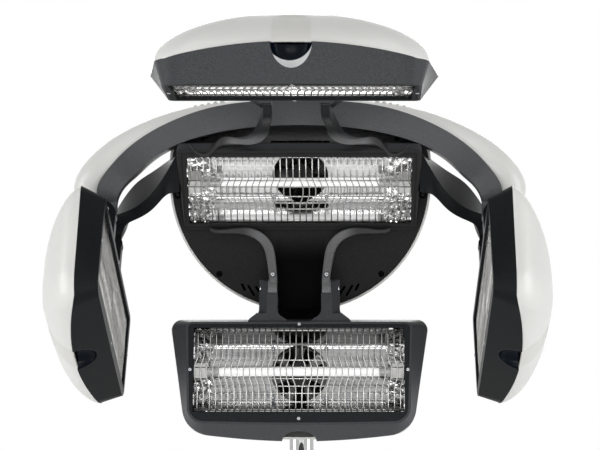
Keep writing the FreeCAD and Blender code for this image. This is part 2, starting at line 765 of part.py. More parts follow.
def fan_rotor_body(label):
    """Rotor hub with swept blades; it runs on the frame's shaft."""
    body = new_body(label)
    back = d.fan_thick - d.fan_back_thick - 1
    front = back - d.fan_hub_deep
    hub = new_sketch(body, "XY_Plane", front)
    circle(hub, ZERO, ZERO, d.fan_hub_dia)
    extrude(body, "Pad", hub, d.fan_hub_deep)
    root = d.fan_hub_dia / 2 - BLADE_SINK
    tip = d.fan_bore / 2 - d.fan_tip_gap
    sweep = d.fan_blade_lean
    thick = d.fan_blade_thick / 2
    low = back - d.fan_blade_deep - 1
    high = back - 1
    sections = []
    for reach, share in ((root, BLADE_ROOT_SHARE), (tip, 1.0)):
        sketch = new_sketch(body, "XZ_Plane", -reach)
        lean_out = sweep * share
        outline(sketch, [(-lean_out - thick, low), (-lean_out + thick, low),
                         (lean_out + thick, high), (lean_out - thick, high)])
        sections.append(sketch)
    blade = body.newObject("PartDesign::AdditiveLoft", "Blade")
    blade.Profile = sections[0]
    blade.Sections = sections[1:]
    body.Tip = blade
    polar(body, blade, "Z_Axis", d.fan_blades)
    bore = new_sketch(body, "XY_Plane", front)
    circle(bore, ZERO, ZERO, d.fan_shaft_dia + d.pin_fit * 2)
    extrude(body, "Pocket", bore, d.fan_hub_deep, True)
    return body


def heater_inside(name, open_wide, open_start, open_high):
    """Grille, reflector, lamp, sockets and fan, which all five heaters share."""
    frame = FRAMES[name]
    half = open_wide / 2
    middle = float(open_start) + float(open_high) / 2
    half_number = float(half)
    start = float(open_start)
    high = float(open_high)
    feature(f"{name}_grille", grille(half_number, start, high), frame)
    feature(f"{name}_reflector", reflector(half_number, start, high, middle), frame)
    lamp, lamp_seat = lamp_body(f"{name}_lamp", half, middle)
    place(lamp, frame.multiply(Placement(lamp_seat, Rotation())))
    place(socket_body(f"{name}_lamp_sockets", half),
          frame.multiply(Placement(lamp_seat, Rotation())))
    fan_seat = Placement(Vector(0, middle, float(d.trough_depth)), Rotation())
    place(fan_frame_body(f"{name}_fan_frame"), frame.multiply(fan_seat))
    place(fan_rotor_body(f"{name}_fan_rotor"), frame.multiply(fan_seat))


casing_shape = head_casing()
shell_shape = head_shell()
bezel_shape = head_bezel()
for head in HEADS:
    feature(f"{head}_shell", shell_shape, FRAMES[head])
    feature(f"{head}_casing", casing_shape, FRAMES[head])
    feature(f"{head}_bezel", bezel_shape, FRAMES[head])
    heater_inside(head, d.open_wide, d.open_start, d.open_high)

# --------------------------------------------------------------------------- rear housing


def rear_outline(inset, depth):
    """Outline of the tilted rear heater frame, slightly narrower at its lower edge."""
    wide = float(d.rear_wide) / 2 - inset
    narrow = float(d.rear_narrow) / 2 - inset
    high = float(d.rear_high) - inset
    radius = max(float(d.rear_round) - inset, 0.5)
    corners = [Vector(-wide, inset, depth), Vector(wide, inset, depth),
               Vector(narrow, high, depth), Vector(-narrow, high, depth)]
    return rounded_wire(corners, [radius] * 4)


def housing_outline(margin, y):
    """Front view of the housing: a half circle below and a low roof above."""
    radius = float(d.panel_radius) + margin
    rise = float(d.panel_rise)
    shoulder = float(d.panel_shoulder) + margin
    crown = float(d.panel_crown) + margin
    corners = [Vector(-radius, y, rise - radius), Vector(radius, y, rise - radius),
               Vector(radius, y, shoulder), Vector(0, y, crown), Vector(-radius, y, shoulder)]
    bend = float(d.shoulder_round)
    return rounded_wire(corners, [radius - 1, radius - 1, bend, float(d.crown_round), bend])


# Screw recesses near the panel's rim, as angles from straight down, and the ends of its vents.
RECESS_MARGIN = 2
RECESS_ANGLES = [-97, -41, 41, 97]
RECESS_ROOF = [(-132, 119), (132, 119)]
VENT_ENDS = [((79, -81), (75.5, -88)), ((70.5, -83), (63, -95.5)), ((60, -84.5), (50, -99.5))]


POD_LONG = 115
FAR = 600


def panel_recesses():
    front = float(d.panel_front)
    reach = float(d.panel_radius) - float(d.recess_dia) / 2 - RECESS_MARGIN
    centres = list(RECESS_ROOF)
    for angle in RECESS_ANGLES:
        turn = math.radians(angle)
        centres.append((reach * math.sin(turn), float(d.panel_rise) - reach * math.cos(turn)))
    return [rod(Vector(x, front - 1, z), Vector(x, front + float(d.recess_deep), z),
                float(d.recess_dia) / 2) for x, z in centres]


def panel_vents():
    """Slanted slots through the panel on both sides of the neck."""
    front = float(d.panel_front) - 1
    half = float(d.vent_wide) / 2
    slots = []
    for side in (-1, 1):
        for (x_top, z_top), (x_low, z_low) in VENT_ENDS:
            top = Vector(side * x_top, front, z_top)
            low = Vector(side * x_low, front, z_low)
            across = (top - low).cross(Vector(0, 1, 0)).normalize() * half
            along = (top - low).normalize() * half
            edges = [Part.makeLine(low - across, top - across),
                     Part.Arc(top - across, top + along, top + across).toShape(),
                     Part.makeLine(top + across, low + across),
                     Part.Arc(low + across, low - along, low - across).toShape()]
            slots.append(plate(Part.Wire(edges), Vector(0, float(d.panel_thick) + 2, 0)))
    return slots


def pod_cove():
    """Cylinder that hollows the top of the pod, between the frame and the arch."""
    local = Vector(0, float(d.cove_sink) - float(d.cove_radius), float(d.cove_behind))
    centre = FRAMES["rear"].multVec(local)
    half = Vector(float(d.rear_wide), 0, 0)
    return rod(centre - half, centre + half, float(d.cove_radius))


def panel_form():
    """Outer form of the front plate with the tilted pod that holds the rear heater."""
    front = float(d.panel_front)
    back = front + float(d.panel_thick)
    slab = plate(housing_outline(0, front), Vector(0, back - front, 0))
    pod = plate(rear_outline(0, float(d.bezel_thick)), Vector(0, 0, POD_LONG))
    pod.Placement = FRAMES["rear"]
    behind = box(-FAR, FAR, back, FAR, -FAR, FAR)
    return slab.fuse(pod).cut(behind).cut(pod_cove())


def front_panel(form):
    """Black front plate: the pod is hollow and open behind its grille and at its back."""
    hollow = plate(rear_outline(float(d.wall), LIP_DEPTH), Vector(0, 0, POD_LONG))
    lip_hole = opening_plate(float(d.rear_open_wide) / 2, float(d.rear_open_start),
                             float(d.rear_open_high), float(d.lip_margin), -1, LIP_DEPTH + 1)
    body = form
    for shape in (hollow, lip_hole):
        shape.Placement = FRAMES["rear"]
        body = body.cut(shape)
    for hole in panel_recesses() + panel_vents():
        body = body.cut(hole)
    return body.removeSplitter()


BEVEL = 2


def rear_bezel():
    """Bevelled frame around the rear grille."""
    thick = float(d.bezel_thick)
    rim = Part.makeLoft([rear_outline(0, thick), rear_outline(BEVEL, 0)], True, True)
    half = float(d.rear_open_wide) / 2
    start = float(d.rear_open_start)
    high = float(d.rear_open_high)
    hole = opening_plate(half, start, high, 0, -1, thick + 1)
    land = float(d.groove_land)
    deep = float(d.groove_deep)
    groove = opening_plate(half, start, high, land + float(d.groove_wide), -1, deep)
    groove = groove.cut(opening_plate(half, start, high, land, -2, deep + 1))
    return rim.cut(hole).cut(groove)


panel_block = panel_form()
panel_shape = front_panel(panel_block)
feature("front_panel", panel_shape)
rear_bezel_piece = feature("rear_bezel", rear_bezel(), FRAMES["rear"])
rear_bezel_shape = rear_bezel_piece.Shape.copy()
rear_bezel_shape.Placement = FRAMES["rear"]
heater_inside("rear", d.rear_open_wide, d.rear_open_start, d.rear_open_high)

# Sections of the rear cover: share of its depth and share of its outline, drawn to its middle.
COVER_STEPS = [(0, 1.0), (0.45, 0.97), (0.75, 0.86), (0.93, 0.68), (1.0, 0.5)]
COVER_MIDDLE = 45


def cover_form(inset):
    """Domed rear cover, from the front panel's plane to its flat back."""
    start = float(d.panel_front + d.panel_thick)
    depth = float(d.cover_depth) - inset
    centre = Vector(0, start, COVER_MIDDLE)
    sections = []
    for share, spread in COVER_STEPS:
        wire = housing_outline(float(d.cover_margin) - inset, start)
        shift = Matrix()
        shift.move(-centre)
        shift.scale(spread, 1, spread)
        shift.move(centre + Vector(0, share * depth, 0))
        sections.append(wire.transformGeometry(shift))
    return Part.makeLoft(sections, True, False)


TILT_AXIS = Vector(0, float(d.stem_setback), -float(d.tilt_drop))
PANEL_BACK = float(d.panel_front + d.panel_thick)


# Side view of the neck as (y, z, corner radius).
NECK_BACK = 134
NECK_LOW = -134
NECK_PROFILE = [(PANEL_BACK, -20, 1), (PANEL_BACK, -108, 10), (60, NECK_LOW, 10),
                (NECK_BACK, NECK_LOW, 12), (NECK_BACK, -76, 20), (92, -20, 10)]
NECK_SLOT_FRONT = 66
NECK_SLOT_TOP = -78


def neck():
    """Neck with the slot in which the stem's eye tilts."""
    half = float(d.neck_wide) / 2
    corners = [Vector(-half, y, z) for y, z, _ in NECK_PROFILE]
    block = plate(rounded_wire(corners, [radius for _, _, radius in NECK_PROFILE]),
                  Vector(2 * half, 0, 0))
    gap = float(d.tilt_eye_wide) / 2 + float(d.running_gap)
    slot = box(-gap, gap, NECK_SLOT_FRONT, FAR, -FAR, NECK_SLOT_TOP)
    pin_hole = rod(Vector(-half - 1, TILT_AXIS.y, TILT_AXIS.z),
                   Vector(half + 1, TILT_AXIS.y, TILT_AXIS.z), float(d.tilt_pin_dia) / 2)
    return block.cut(slot).cut(pin_hole)


def rear_cover():
    wall = float(d.wall)
    shell = cover_form(0).cut(cover_form(wall))
    clearance = float(d.running_gap)
    half = float(d.neck_wide) / 2 + clearance
    passage = box(-half, half, PANEL_BACK - 1, NECK_BACK + clearance, -FAR, -60)
    return shell.cut(passage)


feature("neck", neck())
feature("rear_cover", rear_cover())


def stem_tube_body():
    """Chrome tube with a keying slot at its lower end."""
    body = new_body("stem_tube")
    ring = new_sketch(body, "XY_Plane")
    circle(ring, ZERO, ZERO, d.stem_dia)
    circle(ring, ZERO, ZERO, d.stem_dia - d.stem_wall * 2)
    extrude(body, "Pad", ring, d.stem_drop - d.tilt_drop - d.stem_end)
    slot = new_sketch(body, "XZ_Plane")
    half = d.stem_slot_wide / 2
    spring = d.stem_slot_long - half
    crown = half * 0.6
    outline(slot, [(-half, -d.stem_slot_wide), (half, -d.stem_slot_wide), (half, spring),
                   (crown, d.stem_slot_long), (-crown, d.stem_slot_long), (-half, spring)])
    extrude(body, "Pocket", slot, d.stem_dia, False)
    return body


def stem_knuckle():
    """Knuckle plugged into the tube's top, with the eye of the tilt joint."""
    axis = Vector(0, 0, float(d.stem_drop) - float(d.tilt_drop))
    half = float(d.tilt_eye_wide) / 2
    eye = rod(axis - Vector(half, 0, 0), axis + Vector(half, 0, 0), float(d.tilt_eye_dia) / 2)
    foot = Vector(0, 0, axis.z - float(d.stem_end) - float(d.plug_long))
    shank = rod(foot, axis, float(d.stem_dia) / 2 - float(d.stem_wall))
    bore = rod(axis - Vector(half + 1, 0, 0), axis + Vector(half + 1, 0, 0),
               float(d.tilt_pin_dia) / 2 + float(d.pin_fit))
    return eye.fuse(shank).cut(bore).removeSplitter()


STEM_FRAME = HOUSING.inverse()
place(stem_tube_body(), STEM_FRAME)
feature("stem_knuckle", stem_knuckle(), STEM_FRAME)

# --------------------------------------------------------------------------- arms and brackets


def knuckle_centre(head, side):
    local = Vector(side * float(d.hinge_spread) / 2, -float(d.hinge_reach), float(d.hinge_depth))
    return FRAMES[head].multVec(local)


def knuckle(head, side):
    """Bored bracket end that turns between the casing's cheeks."""
    axis = FRAMES[head].Rotation.multVec(Vector(1, 0, 0))
    centre = knuckle_centre(head, side)
    half = axis * (float(d.knuckle_wide) / 2)
    return rod(centre - half, centre + half, float(d.knuckle_dia) / 2)


def pin_bore(head, side):
    axis = FRAMES[head].Rotation.multVec(Vector(1, 0, 0))
    centre = knuckle_centre(head, side)
    reach = axis * float(d.knuckle_wide)
    return rod(centre - reach, centre + reach, float(d.hinge_pin_dia) / 2)


def cheek_room(head, side):
    """Room in which a head's cheek turns beside the knuckle."""
    axis = FRAMES[head].Rotation.multVec(Vector(1, 0, 0)) * side
    start = knuckle_centre(head, side) + axis * (float(d.knuckle_wide) / 2)
    return rod(start, start + axis * (2 * float(d.cheek_wide)), float(d.cheek_dia) / 2 + 1)


def hinge_pin(head, side):
    axis = FRAMES[head].Rotation.multVec(Vector(1, 0, 0)) * side
    centre = knuckle_centre(head, side)
    inner = centre - axis * (float(d.knuckle_wide) / 2)
    outer = centre + axis * (float(d.knuckle_wide) / 2 + float(d.running_gap + d.cheek_wide) - 1)
    return rod(inner, outer, float(d.hinge_pin_dia) / 2)


def head_axes(head):
    turn = FRAMES[head].Rotation
    return (turn.multVec(Vector(1, 0, 0)), turn.multVec(Vector(0, 1, 0)),
            turn.multVec(Vector(0, 0, 1)))


# A bracket or strand starts inside its knuckle and runs straight for a short way.
ROOT_SINK = 2
ROOT_REACH = 20


def bracket_start(head, side):
    """First two stations of a bracket, straight out of its knuckle."""
    across, along, back = head_axes(head)
    centre = knuckle_centre(head, side)
    half = across * (float(d.knuckle_wide) / 2 - float(d.strand_step))
    deep = back * (float(d.rib_depth) / 2)
    return [(centre + along * ROOT_SINK, half, deep), (centre - along * ROOT_REACH, half, deep)]


# The path of one upper bracket beyond its knuckle: centre, half width and half depth.
UPPER_PATH = [
    (Vector(36.5, -150, 143), Vector(6, 0, 0), Vector(0, 4, 9)),
    (Vector(40, -112, 137), Vector(6, 0, 0), Vector(0, 4, 8.5)),
    (Vector(49, -68, 120), Vector(6, 1.5, 1), Vector(0, 5, 8)),
    (Vector(72, -37, 111), Vector(4.5, 1, 4), Vector(-3, 8, 2)),
    (Vector(106, -24, 107.5), Vector(1, 0, 4.5), Vector(0, 8, 0)),
    (Vector(146, -21, 106), Vector(0, 0, 2.6), Vector(0, 8, 0)),
]
LOWER_PATH = [
    (Vector(38.5, 13, -48), Vector(6, 0, 0), Vector(0, 9, -2)),
    (Vector(43.5, 24, -29), Vector(5.5, 0, -3), Vector(0, 9, -1)),
    (Vector(56, 29, -15), Vector(3, 0, -5), Vector(0, 9, 0)),
    (Vector(84, 30, -8), Vector(0.8, 0, -4.5), Vector(0, 9, 0)),
    (Vector(122, 30, -6), Vector(0, 0, -3), Vector(0, 9, 0)),
]


def bracket_web(side):
    """Tapering web on the outer side of an upper bracket, behind its hinge cheek."""
    axis = knuckle_centre("top", 1)
    inner = float(d.hinge_spread + d.knuckle_wide) / 2 - 3
    outer = inner + float(d.web_wide) + 3
    start = axis.y + float(d.cheek_dia) / 2 + 3
    end = start + float(d.web_long)
    low = axis.z - 6
    corners = [Vector(side * inner, start, axis.z), Vector(side * outer, start, axis.z),
               Vector(side * (inner + 3), end, low), Vector(side * inner, end, low)]
    thick = Vector(0, 1, -float(d.web_thick))
    return Part.Face(Part.makePolygon(corners + corners[:1])).extrude(thick)


def screw_seat(side):
    """Counterbore in the front face of a lower bracket, just above its hinge."""
    centre = knuckle_centre("lower", side)
    along = head_axes("lower")[1]
    forward = head_axes("lower")[2] * -1
    depth = float(d.rib_depth) / 2 - float(d.boss_deep)
    face = centre - along * float(d.boss_above) + forward * depth
    return rod(face, face + forward * 10, float(d.boss_dia) / 2)


def bracket(head, path):
    """The pair of ribs from the housing to a head's hinge."""
    pair = []
    for side in (-1, 1):
        hand = side if head == "lower" else -side
        stations = bracket_start(head, hand)
        flat = []
        for centre, half, deep in stations:
            flat.append((centre, Vector(abs(half.x), 0, 0) * side, deep))
        for centre, half, deep in path:
            flat.append((Vector(centre.x * side, centre.y, centre.z),
                         Vector(half.x * side, half.y, half.z),
                         Vector(deep.x * side, deep.y, deep.z)))
        rib = break_long_edges(bar(flat)).fuse(knuckle(head, hand)).cut(pin_bore(head, hand))
        rib = rib.fuse(bracket_web(side)) if head == "top" else rib.cut(screw_seat(side))
        pair.append(largest(rib.cut(panel_block).cut(rear_bezel_shape)))
    return Part.makeCompound(pair)


feature("upper_brackets", bracket("top", UPPER_PATH))
feature("lower_brackets", bracket("lower", LOWER_PATH))

# Half of the arch from a side head's front hinge to the crown: centre, half face, half depth.
ARCH_PATH = [
    (Vector(-257, 3, 42), Vector(13.5, 0, -5.5), Vector(0, 12, 0)),
    (Vector(-242, 8, 67), Vector(12.5, 0, -9), Vector(0, 17, 0)),
    (Vector(-222, 8, 87), Vector(11, 0, -11.5), Vector(0, 21, 0)),
    (Vector(-198, 8, 106), Vector(8, 0, -13), Vector(0, 24, 0)),
    (Vector(-170, 8, 121), Vector(6, 0, -14.5), Vector(0, 25, 0)),
    (Vector(-138, 8, 133), Vector(4.5, 0, -16), Vector(0, 26, 0)),
    (Vector(-101, 8, 142), Vector(3.2, 0, -17), Vector(0, 26, 0)),
    (Vector(-58, 8, 147.5), Vector(1.8, 0, -17), Vector(0, 26, 0)),
]
ARCH_CROWN = (Vector(0, 8, 149.8), Vector(0, 0, -16.8), Vector(0, 26, 0))


def near_side(head):
    """Which bracket of a side head is the one nearer the front."""
    return -1 if knuckle_centre(head, -1).y < knuckle_centre(head, 1).y else 1


def arm_start(side):
    """First two stations of a strand, straight out of a knuckle of the left head."""
    across, along, back = head_axes("left")
    centre = knuckle_centre("left", side)
    half = Vector(abs(back.x) * float(d.strand_wide) / 2, 0, 0)
    deep = across * (float(d.knuckle_wide) / 2 - float(d.strand_step))
    return [(centre + along * ROOT_SINK, half, deep), (centre - along * ROOT_REACH, half, deep)]


def mirrored(stations):
    return [tuple(mirror_x(vector) for vector in station) for station in stations]


def arch_band():
    left = arm_start(near_side("left")) + ARCH_PATH
    band = bar(left + [ARCH_CROWN] + mirrored(left)[::-1])
    for head in ("left", "right"):
        side = near_side(head)
        band = band.cut(cheek_room(head, side)).fuse(knuckle(head, side))
        band = band.cut(pin_bore(head, side))
    return largest(band.cut(panel_block))


# The rear strand of an arm, from its hinge to the rear heater's pod.
ARM_PATH = [
    (Vector(-249, 58, 5), Vector(11, 0, -4), Vector(-1, 15, 0)),
    (Vector(-234, 48, 21), Vector(7.5, 1, -5), Vector(-5, 22, 8)),
    (Vector(-212, 38, 40), Vector(5, 2, -6), Vector(-8, 25, 13)),
    (Vector(-193, 30, 55), Vector(2.5, 2, -9.5), Vector(-7, 25, 9)),
    (Vector(-172, 24, 68), Vector(0, 0, -22), Vector(-3, 26, 3)),
    (Vector(-161, 22, 72), Vector(0, 0, -27), Vector(0, 26, 0)),
]


def side_arm(head, band):
    far = -near_side(head)
    stations = arm_start(-near_side("left")) + ARM_PATH
    if head == "right":
        stations = mirrored(stations)
    strand = bar(stations).cut(cheek_room(head, far))
    strand = strand.fuse(knuckle(head, far)).cut(pin_bore(head, far))
    return largest(strand.cut(panel_block).cut(band).cut(cover_form(0)))


band_shape = arch_band()
feature("arch_band", band_shape)
feature("left_arm", side_arm("left", band_shape))
feature("right_arm", side_arm("right", band_shape))

# Half of the white hood over the arch: its edge on the arch, its outermost line, front and rear.
HOOD_PATH = [
    (Vector(-268, 0, 31), Vector(-302, 0, 35), 2, 40),
    (Vector(-269, 0, 47), Vector(-305, 0, 54), -2, 46),
    (Vector(-251, 0, 76), Vector(-287, 0, 88), -6, 54),
    (Vector(-232, 0, 97), Vector(-262, 0, 111), -8, 58),
    (Vector(-205, 0, 118), Vector(-226, 0, 133), -11, 60),
    (Vector(-175, 0, 135), Vector(-188, 0, 149), -12, 60),
    (Vector(-142, 0, 149), Vector(-150, 0, 160), -13, 60),
    (Vector(-104, 0, 158.5), Vector(-108, 0, 167), -13, 60),
    (Vector(-59, 0, 164), Vector(-60, 0, 171), -13, 60),
]
HOOD_CROWN = (Vector(0, 0, 166), Vector(0, 0, 172.5), -13, 60)


def hood_section(inner, outer, front, rear):
    """Arched section that stands on the band: a flat under side and a crowned outer side."""
    start = Vector(inner.x, front, inner.z)
    end = Vector(inner.x, rear, inner.z)
    crest = Vector(outer.x, (front + rear) / 2, outer.z)
    return Part.Wire([Part.Arc(start, crest, end).toShape(), Part.makeLine(end, start)])


# Where the row of vent ribs starts on the hood's crown, how it falls outward and its two ends.
RIB_START = Vector(104, 0, 164.5)
RIB_FALL = 0.19
RIB_ENDS = (4, 42)


def hood_ribs():
    """Round vent ribs across both shoulders of the hood."""
    ribs = []
    for side in (-1, 1):
        for i in range(int(float(d.rib_count))):
            reach = i * float(d.rib_pitch)
            x = side * (RIB_START.x + reach)
            z = RIB_START.z - RIB_FALL * reach
            front, rear = (Vector(x, y, z) for y in RIB_ENDS)
            ribs.append(rod(front, rear, float(d.rib_round)))
    return ribs


def arch_hood(band):
    left = HOOD_PATH
    right = [(mirror_x(inner), mirror_x(outer), front, rear)
             for inner, outer, front, rear in reversed(HOOD_PATH)]
    sections = [hood_section(*station) for station in left + [HOOD_CROWN] + right]
    hood = Part.makeLoft(sections, True, False)
    for rib in hood_ribs():
        hood = hood.fuse(rib)
    return largest(hood.cut(band).cut(panel_block).cut(cover_form(0)))


feature("arch_hood", arch_hood(band_shape))

# --------------------------------------------------------------------------- pins and controls


def pivot_pins():
    half = float(d.neck_wide) / 2
    tilt = rod(TILT_AXIS - Vector(half, 0, 0), TILT_AXIS + Vector(half, 0, 0),
               float(d.tilt_pin_dia) / 2)
    pins = [hinge_pin(head, side) for head in HEADS for side in (-1, 1)]
    return Part.makeCompound(pins + [tilt])


feature("pivot_pins", pivot_pins())

# Seats on the control panel, in its own frame: x to the left seen from behind, y up.
BUTTONS = ["less_button", "start_button", "more_button"]
BUTTON_ROW = -14
BUTTON_SHIFT = -10
SWITCH_PIVOT = Vector(42, -14, 3.8)
CONTROL_RISE = 60
CONTROL_ROUND = 8
STUB_LONG = 1.7
KEEL_DEEP = 1.6
CAP_EDGE = 0.6


def control_frame():
    """Frame of the control panel: x to the left seen from behind, y up, z to the rear."""
    return frame_placement(Vector(-1, 0, 0), Vector(0, 0, 1),
                           Vector(0, PANEL_BACK + float(d.cover_depth), CONTROL_RISE))


def button_seat(index):
    return Vector((index - 1) * float(d.button_pitch) + BUTTON_SHIFT, BUTTON_ROW, 0)


def control_panel():
    wide = float(d.control_wide) / 2
    high = float(d.control_high) / 2
    thick = float(d.control_thick)
    corners = [Vector(-wide, -high, 0), Vector(wide, -high, 0), Vector(wide, high, 0),
               Vector(-wide, high, 0)]
    body = plate(rounded_wire(corners, [CONTROL_ROUND] * 4), Vector(0, 0, thick))
    radius = float(d.button_dia) / 2 + float(d.running_gap)
    floor = float(d.pocket_floor)
    for index in range(len(BUTTONS)):
        seat = button_seat(index)
        body = body.cut(rod(seat + Vector(0, 0, floor), seat + Vector(0, 0, thick + 1), radius))
    half = float(d.switch_wide) / 2 + float(d.running_gap)
    tall = float(d.switch_high) / 2 + 2 * float(d.running_gap)
    x, y, z = SWITCH_PIVOT
    body = body.cut(box(x - half, x + half, y - tall, y + tall, floor, thick + 1))
    reach = half + STUB_LONG + float(d.running_gap)
    return body.cut(rod(Vector(x - reach, y, z), Vector(x + reach, y, z),
                        float(d.switch_pin_dia) / 2 + float(d.pin_fit)))


def power_switch():
    """Rocker with two leaning faces and a stub on each side."""
    half = float(d.switch_wide) / 2
    tall = float(d.switch_high) / 2
    crest = tall * math.tan(math.radians(float(d.switch_throw)))
    face = float(d.control_thick) - SWITCH_PIVOT.z + 1
    keel = -KEEL_DEEP
    profile = [Vector(-half, 0, keel), Vector(-half, tall, 0), Vector(-half, tall, face + crest),
               Vector(-half, 0, face), Vector(-half, -tall, face + crest), Vector(-half, -tall, 0)]
    rocker = Part.Face(Part.makePolygon(profile + profile[:1])).extrude(Vector(2 * half, 0, 0))
    stub = half + float(d.running_gap) + STUB_LONG
    return rocker.fuse(rod(Vector(-stub, 0, 0), Vector(stub, 0, 0), float(d.switch_pin_dia) / 2))


def button(travel_gap):
    """Push button: a round cap with a softened edge."""
    radius = float(d.button_dia) / 2
    base = float(d.pocket_floor) + travel_gap
    height = float(d.control_thick) + float(d.button_proud) - base
    cap = Part.makeCylinder(radius, height, Vector(0, 0, base))
    edge = [e for e in cap.Edges if abs(e.CenterOfMass.z - (base + height)) < 0.01]
    return cap.makeChamfer(CAP_EDGE, edge)


CONTROL = control_frame()
feature("control_panel", control_panel(), CONTROL)
for index, label in enumerate(BUTTONS):
    seat = Placement(button_seat(index), Rotation())
    feature(label, button(float(d.button_travel) + float(d.running_gap)), CONTROL.multiply(seat))
SWITCH_LEAN = Rotation(Vector(1, 0, 0), -float(d.switch_throw))
feature("power_switch", power_switch(), CONTROL.multiply(Placement(SWITCH_PIVOT, SWITCH_LEAN)))

# --------------------------------------------------------------------------- checks and files

doc.recompute()
for item in doc.Objects:
    if "Invalid" in item.State or "Error" in item.State:
        raise ValueError(f"{item.Label} failed: {item.State}")
for piece in pieces:
    if piece.Shape.isNull() or not piece.Shape.isValid():
        raise ValueError(f"{piece.Label} has no valid shape")

os.makedirs("parts", exist_ok=True)
for piece in pieces:
    piece.Shape.exportStep(f"parts/{piece.Label}.step")
print(len(pieces), "pieces written")
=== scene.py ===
import json
import math

import bpy
from mathutils import Euler, Matrix, Vector


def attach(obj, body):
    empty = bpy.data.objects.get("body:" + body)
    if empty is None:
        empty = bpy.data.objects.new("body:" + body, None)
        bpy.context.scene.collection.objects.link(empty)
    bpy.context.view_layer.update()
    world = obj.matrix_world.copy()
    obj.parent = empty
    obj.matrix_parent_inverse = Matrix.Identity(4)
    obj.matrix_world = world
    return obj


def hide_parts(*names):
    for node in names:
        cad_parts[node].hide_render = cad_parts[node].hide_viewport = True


# Looks of a salon infrared processor: white shells, fine-grained black mouldings, wire grilles in
# front of quartz lamps and bright reflectors. Everything is in metres, in the row's frame.

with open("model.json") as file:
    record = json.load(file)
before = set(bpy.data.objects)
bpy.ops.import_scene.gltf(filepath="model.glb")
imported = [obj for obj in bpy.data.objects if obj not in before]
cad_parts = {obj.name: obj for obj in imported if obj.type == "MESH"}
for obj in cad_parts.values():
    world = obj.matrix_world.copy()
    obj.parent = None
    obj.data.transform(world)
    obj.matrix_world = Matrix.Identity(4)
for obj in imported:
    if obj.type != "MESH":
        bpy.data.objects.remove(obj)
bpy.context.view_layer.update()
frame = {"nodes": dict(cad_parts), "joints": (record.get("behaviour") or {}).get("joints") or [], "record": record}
NODES = frame["nodes"]
JOINTS = {joint["name"]: joint for joint in frame["joints"]}

HEADS = ["top", "lower", "left", "right"]
HEATERS = HEADS + ["rear"]
SIDES = (-1, 1)

# Places in a heater's local frame: x across, y from the hinged to the free edge, z to the back.
FAN_SEAT = 0.053
HEAD_OPENING = {"half": 0.139, "start": 0.008, "high": 0.111}
REAR_OPENING = {"half": 0.150, "start": 0.011, "high": 0.103}
BEZEL_THICK = 0.003
RIM_HALF = 0.148
RIM_REACH = 0.134
TROUGH_FLOOR = 0.042
WIRE_RADIUS = 0.0008
WIRE_PITCH = {"rear": 0.0085, "head": 0.0081}
WIRE_TAIL = 0.0025
WIRE_BOW = 0.0045
FAN_HOLE_PITCH = 0.0715
HINGE_SPREAD = 0.072

# The housing's own frame lies between the heads: its origin in the row's frame.
HOUSING_ORIGIN = Vector((0, -0.110, 0.325))
PANEL_RADIUS = 0.174
PANEL_RISE = 0.060
PANEL_FRONT = 0.034


def opening(name):
    return REAR_OPENING if name == "rear" else HEAD_OPENING


def middle(name):
    size = opening(name)
    return size["start"] + size["high"] / 2


def body_name(name):
    return "housing" if name == "rear" else f"{name}_head"


def heater_matrix(name):
    """Local frame of a heater, read from the joints of its fan and its hinge."""
    spin = JOINTS[f"{name}_fan_spin"]
    back = Vector(spin["axis"])
    across = Vector(JOINTS[f"{name}_hinge"]["axis"]) if name != "rear" else Vector((1, 0, 0))
    along = back.cross(across)
    origin = Vector(spin["pos_m"]) - along * middle(name) - back * FAN_SEAT
    turn = Matrix((across, along, back)).transposed().to_4x4()
    return Matrix.Translation(origin) @ turn


PLACES = {name: heater_matrix(name) for name in HEATERS}

# --------------------------------------------------------------------------- materials


